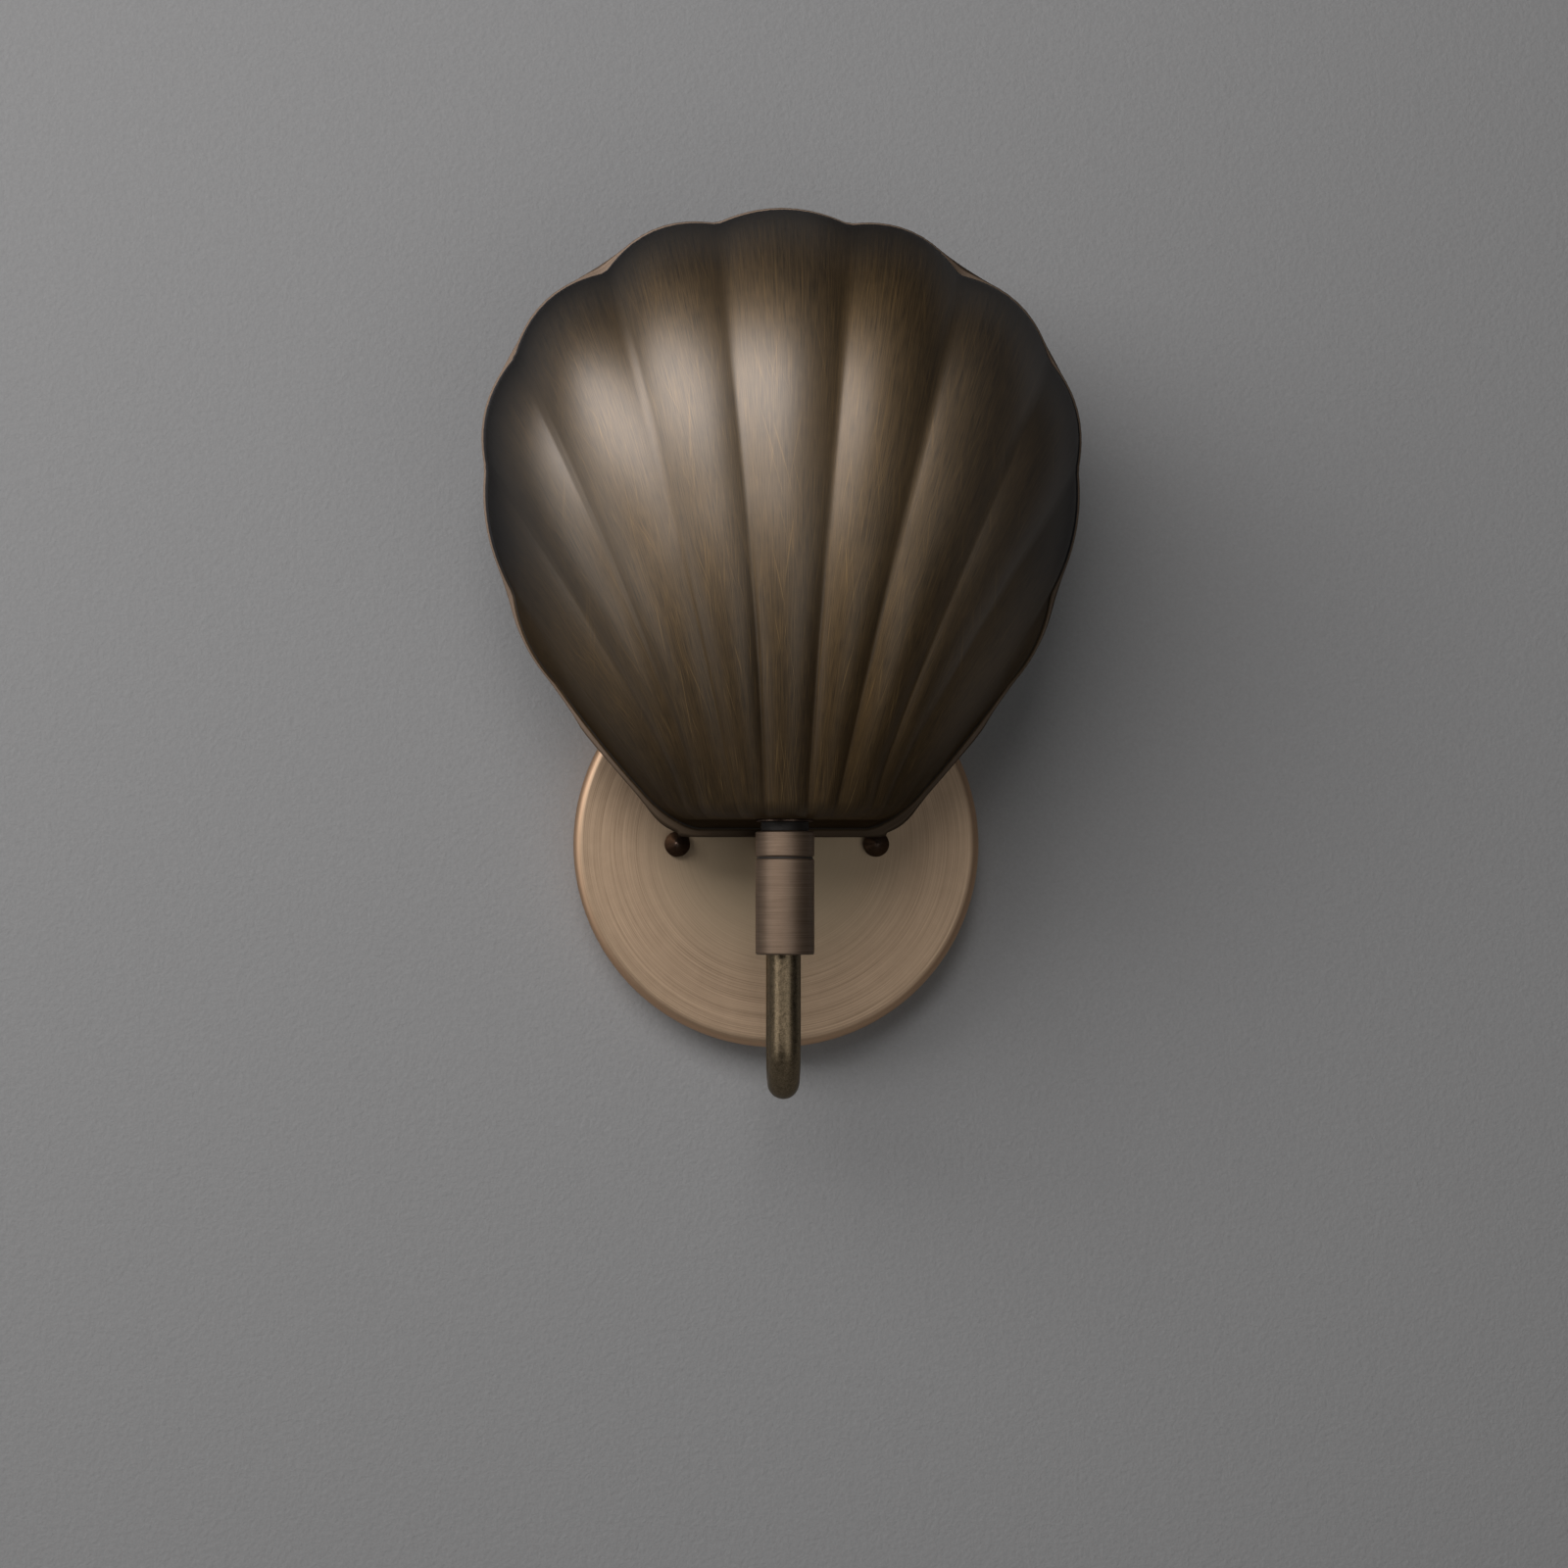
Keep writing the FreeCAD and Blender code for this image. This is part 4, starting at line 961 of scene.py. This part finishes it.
    def add_lip(self, bm: bmesh.types.BMesh, edges: list,
                at_lip: bmesh.types.BMLayerItem) -> None:
        """Roll the rim outwards in a small fillet and draw it out to the lip's outline.

        Args:
            bm: The shade's bmesh.
            edges: The closed ring round the open back.
            at_lip: The vertex layer that goes from 0 on the skin to 1 on the lip.
        """
        sizes = self.sizes
        middle = Vector((0.0, sizes.wall_end, sizes.floor + 0.5 * sizes.height))
        reach = self.lip_reach()
        for step in range(sizes.fillet_steps + len(sizes.lip_rings)):
            edges, verts = extrude_ring(bm, edges)
            for vert in verts:
                arm = vert.co - middle
                arm.y = 0.0
                away = arm.normalized()
                if step < sizes.fillet_steps:
                    last, now = (0.5 * math.pi * turn / sizes.fillet_steps
                                 for turn in (step, step + 1))
                    vert.co += away * sizes.fillet * (math.cos(last) - math.cos(now))
                    vert.co.y += sizes.fillet * (math.sin(now) - math.sin(last))
                    vert[at_lip] = (step + 1) / sizes.fillet_steps
                else:
                    left = reach(math.atan2(arm.x, arm.z)) - arm.length
                    share = sizes.lip_rings[step - sizes.fillet_steps]
                    vert.co += away * (max(left, sizes.least_lip) * share)
                    vert[at_lip] = 1.0


def smooth_point(before: Vector, start: Vector, end: Vector, after: Vector,
                 share: float) -> Vector:
    """Give a point of the smooth curve from start to end, at a share of the way."""
    return 0.5 * (2.0 * start + (end - before) * share
                  + (2.0 * before - 5.0 * start + 4.0 * end - after) * share ** 2
                  + (3.0 * start - before - 3.0 * end + after) * share ** 3)


def smooth_line(spots: Sequence[Vector], steps: int, before: Vector | None = None,
                after: Vector | None = None) -> list[Vector]:
    """Draw a smooth curve through spots.

    Args:
        spots: The spots, in order.
        steps: How many points lie between two spots.
        before: A spot that the curve comes from, if any.
        after: A spot that it goes on to, if any.

    Returns:
        The curve's points, ends included.
    """
    held = [spots[0] if before is None else before, *spots,
            spots[-1] if after is None else after]
    points = [smooth_point(*held[index:index + 4], step / steps)
              for index in range(len(spots) - 1) for step in range(steps)]
    return [*points, spots[-1]]


def arc_outline(centre: tuple[float, float], radius: float, start: float, end: float,
                steps: int) -> list[tuple[float, float]]:
    """Give points of an arc in an outline, from one angle in degrees to another."""
    turns = [math.radians(start + (end - start) * step / steps) for step in range(steps + 1)]
    return [(centre[0] + radius * math.cos(turn), centre[1] + radius * math.sin(turn))
            for turn in turns]


def ring_outline(bore: float, radius: float, low: float, high: float) -> Outline:
    """Give the outline of a plain ring."""
    return [(bore, low), (radius, low), (radius, high), (bore, high)]


def barrel_side(low: float, high: float, radius: float = 9.525, face: float = 9.1,
                chamfer: float = 0.45) -> Outline:
    """Give the outer side of a swivel part: its radius, with chamfers down to its faces."""
    return [(face, low), (radius, low + chamfer), (radius, high - chamfer), (face, high)]


@dataclass
class CanopySizes(Sizes):
    """The canopy's and its nuts' sizes in millimetres."""

    radius: float = 69.85
    depth: float = 19.0
    sheet: float = 1.0
    roll: float = 3.4
    bore: float = 5.2
    nut_offset: float = 34.15
    nut_radius: float = 4.4
    nut_skirt: float = 3.6
    nut_bore: float = 2.13
    nut_hollow: float = 4.1
    nut_form: Outline = (  # radius, and height over the skirt
        (4.4, -0.5), (4.15, 0.0), (3.3, 1.6), (2.3, 3.2), (1.45, 4.5), (0.9, 5.3),
        (0.45, 5.6), (0.0, 5.6))


class Canopy(Assembly):
    """The round canopy and the two pointed nuts that hold it."""

    usual = CanopySizes
    sizes: CanopySizes

    def build(self) -> None:
        """Spin the canopy and turn its nuts."""
        sizes = self.sizes
        inner, top = sizes.radius - sizes.sheet, sizes.depth - sizes.sheet
        roll, small = sizes.roll, sizes.roll - sizes.sheet
        outline = [(sizes.bore, sizes.depth),
                   *arc_outline((sizes.radius - roll, sizes.depth - roll), roll, 90, 0, 10),
                   (sizes.radius, 0.0), (inner, 0.0),
                   *arc_outline((inner - small, top - small), small, 0, 90, 8),
                   (sizes.bore, top)]
        self.turn("canopy_plate", "canopy", outline, Finishes.CANOPY, 0.0, 180, Turned.OFF_WALL,
                  Vector())
        skirt, hollow = sizes.depth + sizes.nut_skirt, sizes.depth + sizes.nut_hollow
        shape = [(sizes.nut_bore, sizes.depth), (sizes.nut_radius, sizes.depth),
                 *((radius, skirt + height) for radius, height in sizes.nut_form),
                 (0.0, hollow), (sizes.nut_bore, hollow)]
        left = Vector((-sizes.nut_offset * MM, 0.0, 0.0))
        nuts = spin_outline(shape, Turned.OFF_WALL, left, 48, 0.12)
        twin = bmesh.ops.duplicate(nuts, geom=[*nuts.verts, *nuts.edges, *nuts.faces])["geom"]
        bmesh.ops.translate(nuts, vec=left * -2.0,
                            verts=[item for item in twin if isinstance(item, bmesh.types.BMVert)])
        self.dress(finish_mesh(nuts, "pointed_cap_nuts", 50.0), Finishes.CAP, "cap_nuts")


def straight(way: Vector, steps: int) -> tuple[Matrix, int]:
    """Give a straight run of a tube: what one step does, and how many there are."""
    return Matrix.Translation(way / steps), steps


def bend(centre: Vector, angle: float, steps: int) -> tuple[Matrix, int]:
    """Give a bend of a tube by degrees about +X: one step, and how many there are."""
    turn = Matrix.Rotation(math.radians(angle / steps), 4, "X")
    return Matrix.Translation(centre) @ turn @ Matrix.Translation(-centre), steps


@dataclass
class ArmSizes(Sizes):
    """The sizes of the arm and its seat ring in millimetres."""

    radius: float = 5.15
    bore: float = 3.7
    tail: float = 10.0
    rear: float = 65.0
    bend: float = 20.0
    drop: float = 64.0
    reach: float = 95.0
    top: float = -27.76
    seat: Outline = ((5.2, 19.0), (7.25, 19.0), (7.25, 21.2), (6.45, 22.0), (5.2, 22.0))


class Arm(Assembly):
    """The bent tube and the ring that seats it on the canopy."""

    usual = ArmSizes
    sizes: ArmSizes

    def build(self) -> None:
        """Draw the tube out of the canopy, down, round the U and up."""
        sizes = self.sizes
        start = Matrix.Translation((0.0, -sizes.tail, 0.0)) @ Matrix.Rotation(math.pi / 2, 4, "X")
        turn = sizes.bend - sizes.rear
        u_middle = -0.5 * (sizes.rear + sizes.reach)
        path = (straight(Vector((0.0, sizes.tail + turn, 0.0)), 6),
                bend(Vector((0.0, turn, -sizes.bend)), 90.0, 20),
                straight(Vector((0.0, 0.0, sizes.bend - sizes.drop)), 8),
                bend(Vector((0.0, u_middle, -sizes.drop)), -180.0, 40),
                straight(Vector((0.0, 0.0, sizes.top + sizes.drop)), 6))
        bm = bmesh.new()
        bmesh.ops.create_circle(bm, cap_ends=False, segments=48, radius=sizes.radius,
                                matrix=start)
        edges = list(bm.edges)
        for move, steps in path:
            for _ in range(steps):
                edges, end = extrude_ring(bm, edges)
                bmesh.ops.transform(bm, matrix=move, verts=end)
        tube = finish_sheet(bm, "bent_arm", 2, sizes.radius - sizes.bore, 60.0)
        self.dress(tube, Finishes.ARM, "arm_tube")
        self.turn("arm_seat", "arm_seat_ring", sizes.seat, Finishes.ARM, 0.15, 72,
                  Turned.OFF_WALL, Vector())


@dataclass
class SwivelSizes(Sizes):
    """The sizes of the barrel, its bush and its washer in millimetres."""

    low: float = -36.76
    high: float = -5.76
    bore: float = 7.5
    spigot_bore: float = 5.05
    spigot_depth: float = 5.0
    bush_bore: float = 5.2
    bush_radius: float = 7.45
    bush_length: float = 10.0
    seam_radius: float = 9.05
    seam: float = 0.5


class Swivel(Assembly):
    """The turned barrel under the shade, which stays with the arm."""

    usual = SwivelSizes
    sizes: SwivelSizes

    def build(self) -> None:
        """Turn the barrel, its bush and the washer in its seam."""
        sizes = self.sizes
        low, high, shoulder = sizes.low, sizes.high, sizes.high - sizes.spigot_depth
        barrel = [(sizes.bore, low), *barrel_side(low, high), (sizes.spigot_bore, high),
                  (sizes.spigot_bore, shoulder), (sizes.bore, shoulder)]
        bush = ring_outline(sizes.bush_bore, sizes.bush_radius, low, low + sizes.bush_length)
        seam = ring_outline(sizes.spigot_bore, sizes.seam_radius, high, high + sizes.seam)
        self.turn("turned_barrel", "swivel_barrel", barrel, Finishes.SWIVEL, 0.12, 128)
        self.turn("barrel_bush", "swivel_bottom_bush", bush, Finishes.SWIVEL, 0.1, 72)
        self.turn("seam_washer", "swivel_seam_washer", seam, Finishes.BLACK, 0.0)


@dataclass
class NeckSizes(Sizes):
    """The sizes of the swivel's head, the collar and the washer in millimetres."""

    base: float = -5.2
    top: float = 3.1
    spigot: float = 5.0
    spigot_length: float = 11.6
    wire_way: float = 3.0
    nipple_bore: float = 4.85
    nipple_depth: float = 4.6
    collar: float = 7.75
    collar_height: float = 3.1
    washer: float = 9.3
    washer_height: float = 0.8


class Neck(Assembly):
    """The moving half of the swivel, what stands on it under the shade, and the socket."""

    body = "shade_head"
    usual = NeckSizes
    sizes: NeckSizes

    def build(self) -> None:
        """Turn the head, the collar and the washer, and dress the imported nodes."""
        sizes = self.sizes
        base, top = sizes.base, sizes.top
        foot, seat = base - sizes.spigot_length, top - sizes.nipple_depth
        head = [(sizes.wire_way, foot), (sizes.spigot, foot), (sizes.spigot, base),
                *barrel_side(base, top), (sizes.nipple_bore, top), (sizes.nipple_bore, seat),
                (sizes.wire_way, seat)]
        shelf = top + sizes.collar_height
        collar = ring_outline(sizes.nipple_bore, sizes.collar, top, shelf)
        washer = ring_outline(sizes.nipple_bore, sizes.washer, shelf,
                              shelf + sizes.washer_height)
        self.turn("turned_head", "swivel_head", head, Finishes.SWIVEL, 0.12, 128)
        self.turn("black_collar", "neck_collar", collar, Finishes.BLACK, 0.3)
        self.turn("shade_washer", "neck_washer", washer, Finishes.CAP, 0.15)
        self.paint_nodes(Finishes.ZINC, "neck_nipple", "shade_lock_washer", "shade_lock_nut",
                         "socket_cup_nut", "swivel_wave_washer", "swivel_retaining_nut")
        self.paint_nodes(Finishes.SPUN, "socket_cup")
        self.paint_nodes(Finishes.PHENOLIC, "socket_body")
        self.paint_nodes(Finishes.BRASS, "socket_screw_shell", "socket_contact",
                         "terminal_screws")


class WallHardware(Assembly):
    """What the canopy hides on the wall."""

    def build(self) -> None:
        """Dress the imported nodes."""
        self.paint_nodes(Finishes.ZINC, "mounting_crossbar", "canopy_studs", "stud_lock_nuts",
                         "arm_lock_washer", "arm_lock_nut")
        self.paint_nodes(Finishes.GREEN, "ground_screw")


@dataclass
class BulbSizes(Sizes):
    """The glass's sizes in millimetres, and its form in shares of them."""

    radius: float = 17.5
    half_length: float = 36.0
    middle: float = 82.5
    neck: float = 5.4
    neck_base: float = 34.2
    neck_even: float = 44.26  # the neck is even up to here
    neck_top: float = 48.26
    wall: float = 0.8
    form: Outline = ((0.436, -0.90), (0.600, -0.80), (0.760, -0.65), (0.893, -0.45),
                     (0.971, -0.24), (1.000, 0.0), (0.968, 0.25), (0.866, 0.50),
                     (0.714, 0.70), (0.527, 0.85), (0.312, 0.95), (0.120, 0.995), (0.0, 1.0))


class Bulb(Assembly):
    """The candle-shaped bulb."""

    body = "bulb"
    usual = BulbSizes
    sizes: BulbSizes

    def build(self) -> None:
        """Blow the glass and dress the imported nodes."""
        sizes = self.sizes
        spots = [Vector((sizes.neck, height))
                 for height in (sizes.neck_base, sizes.neck_even, sizes.neck_top)]
        spots += [Vector((sizes.radius * across, sizes.middle + sizes.half_length * up))
                  for across, up in sizes.form]
        outer = smooth_line(spots, 6)
        inner = []
        for index, spot in enumerate(outer):
            course = outer[min(index + 1, len(outer) - 1)] - outer[max(index - 1, 0)]
            inner.append(spot + Vector((-course.y, course.x)).normalized() * sizes.wall)
        inner[0].y = sizes.neck_base
        inner[-1] = outer[-1] - Vector((0.0, sizes.wall))
        outline = [(max(spot.x, 0.0), spot.y) for spot in [*outer, *inner[::-1]]]
        self.turn("blown_glass", "bulb_glass", outline, Finishes.GLASS, 0.0)
        self.paint_nodes(Finishes.NICKEL, "bulb_base", "bulb_eyelet")
        self.paint_nodes(Finishes.INSULATOR, "bulb_insulator")
        self.paint_nodes(Finishes.GLASS, "bulb_stem")
        self.paint_nodes(Finishes.FILAMENT, "bulb_filaments")


@dataclass(frozen=True)
class Lamp:
    """One soft studio lamp."""

    name: str
    spot: tuple[float, float, float]
    width: float
    height: float
    power: float
    colour: Colour


@dataclass
class Studio:
    """The pale room: floor, backdrop, lamps and the camera."""

    eye: tuple[float, float, float] = (-0.045, -1.300, -0.018)
    looking: tuple[float, float, float] = (0.0371, 1.0, 0.0302)
    lens: float = 85.6
    sensor: float = 36.0
    lamps_aim: tuple[float, float, float] = (0.0, -0.08, 0.06)
    wall_at: float = 0.0006
    wall_colour: Colour = (0.290, 0.296, 0.300)
    floor_at: float = -1.65
    floor_colour: Colour = (0.55, 0.55, 0.54)
    sky: tuple[float, float, float, float] = (0.62, 0.63, 0.65, 1.0)
    sky_power: float = 0.05
    lamps: tuple[Lamp, ...] = (
        Lamp("key", (-0.62, -1.18, 0.64), 1.70, 0.72, 18.0, (1.0, 0.965, 0.96)),
        Lamp("fill", (0.60, -1.9, -0.45), 1.2, 1.2, 3.8, (1.0, 0.97, 0.94)),
        Lamp("side", (-1.45, -0.75, -0.10), 0.8, 1.2, 3.5, (1.0, 0.97, 0.95)),
        Lamp("rear", (0.25, 1.60, 0.30), 1.2, 1.2, 3.0, (1.0, 0.98, 0.96)),
    )

    def plaster(self, paint: Paint) -> None:
        """Give the backdrop its grain, and let it be clear from behind and cast no shadow.

        Args:
            paint: The backdrop's material.
        """
        vector = paint.place.vector
        paint.bump(paint.noise(vector, 620.0, 3.0, 0.6), 0.0008, 0.42)
        paint.set(Base_Color=paint.blend(paint.noise(vector, 950.0, 2.0, 0.7),
                                         scaled(self.wall_colour, (0.9, 0.9, 0.9)),
                                         scaled(self.wall_colour, (1.1, 1.1, 1.1))))
        back = Value(paint, paint.node("ShaderNodeNewGeometry").outputs["Backfacing"])
        shadow = Value(paint, paint.node("ShaderNodeLightPath").outputs["Is Shadow Ray"])
        clear = paint.node("ShaderNodeBsdfTransparent")
        mixed = paint.node("ShaderNodeMixShader", None, {
            0: (back + shadow).step(0.0, 0.5), 1: Value(paint, paint.shader.outputs[0]),
            2: Value(paint, clear.outputs[0])})
        output = paint.tree.get_output_node("ALL")
        paint.tree.links.new(mixed.outputs[0], output.inputs["Surface"])

    def sheet(self, name: str, at: Matrix, colour: Colour) -> Paint:
        """Lay one flat pale sheet of the stage, 10 m each way.

        Args:
            name: Its name.
            at: Where it lies.
            colour: Its colour.

        Returns:
            Its material's paint.
        """
        paint = Paint(name)
        paint.set(Base_Color=colour, Roughness=0.9)
        bm = bmesh.new()
        bmesh.ops.create_grid(bm, x_segments=1, y_segments=1, size=5.0)
        bmesh.ops.transform(bm, matrix=at, verts=bm.verts)
        piece = finish_mesh(bm, name)
        piece.data.materials.append(paint.material)
        piece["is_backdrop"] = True
        return paint

    def build(self) -> None:
        """Lay the floor and the backdrop, hang the lamps and set the camera."""
        upright = Matrix.Translation((0.0, self.wall_at, 0.0)) @ Matrix.Rotation(
            math.pi / 2, 4, "X")
        self.plaster(self.sheet("backdrop", upright, self.wall_colour))
        self.sheet("floor", Matrix.Translation((0.0, 0.0, self.floor_at)), self.floor_colour)
        for lamp in self.lamps:
            self.hang(lamp)
        world = bpy.data.worlds.new("room")
        world.use_nodes = True
        background = world.node_tree.nodes["Background"]
        background.inputs["Color"].default_value = self.sky
        background.inputs["Strength"].default_value = self.sky_power
        bpy.context.scene.world = world
        self.set_camera()
        bpy.context.scene.view_settings.view_transform = "Standard"

    def set_camera(self) -> None:
        """Put the camera where it looks from, kept upright."""
        camera = bpy.data.objects.new("camera", bpy.data.cameras.new("camera"))
        camera.data.lens = self.lens
        camera.data.sensor_width = self.sensor
        camera.location = self.eye
        ahead = Vector(self.looking).normalized()
        right = ahead.cross(Vector((0.0, 0.0, 1.0))).normalized()
        camera.rotation_euler = Matrix((right, right.cross(ahead), -ahead)).transposed().to_euler()
        bpy.context.scene.collection.objects.link(camera)
        bpy.context.scene.camera = camera

    def hang(self, lamp: Lamp) -> None:
        """Hang one lamp so that it looks at the middle of the object.

        Args:
            lamp: The lamp.
        """
        data = bpy.data.lights.new(lamp.name, "AREA")
        data.shape = "RECTANGLE"
        data.size = lamp.width
        data.size_y = lamp.height
        data.energy = lamp.power
        data.color = lamp.colour
        light = bpy.data.objects.new(lamp.name, data)
        light.location = lamp.spot
        light.visible_camera = False
        aim = Vector(self.lamps_aim) - Vector(lamp.spot)
        light.rotation_euler = aim.to_track_quat("-Z", "Y").to_euler()
        bpy.context.scene.collection.objects.link(light)


def note_size(times: list) -> None:
    """Args:
        times: The bounds noted so far, which grows by one.
    """
    low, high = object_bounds()
    times.append([list(low), list(high)])


def main() -> None:
    """Build every sub-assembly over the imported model, then the studio."""
    logging.basicConfig(level=logging.INFO, format="%(name)s: %(message)s")
    times: list = []
    note_size(times)
    finishes = Finishes()
    for assembly in (Shade, Canopy, Arm, Swivel, Neck, WallHardware, Bulb):
        assembly(finishes).build()
        LOG.info("%s built", assembly.__name__)
    Studio().build()
    note_size(times)


if __name__ == "__main__":
    main()
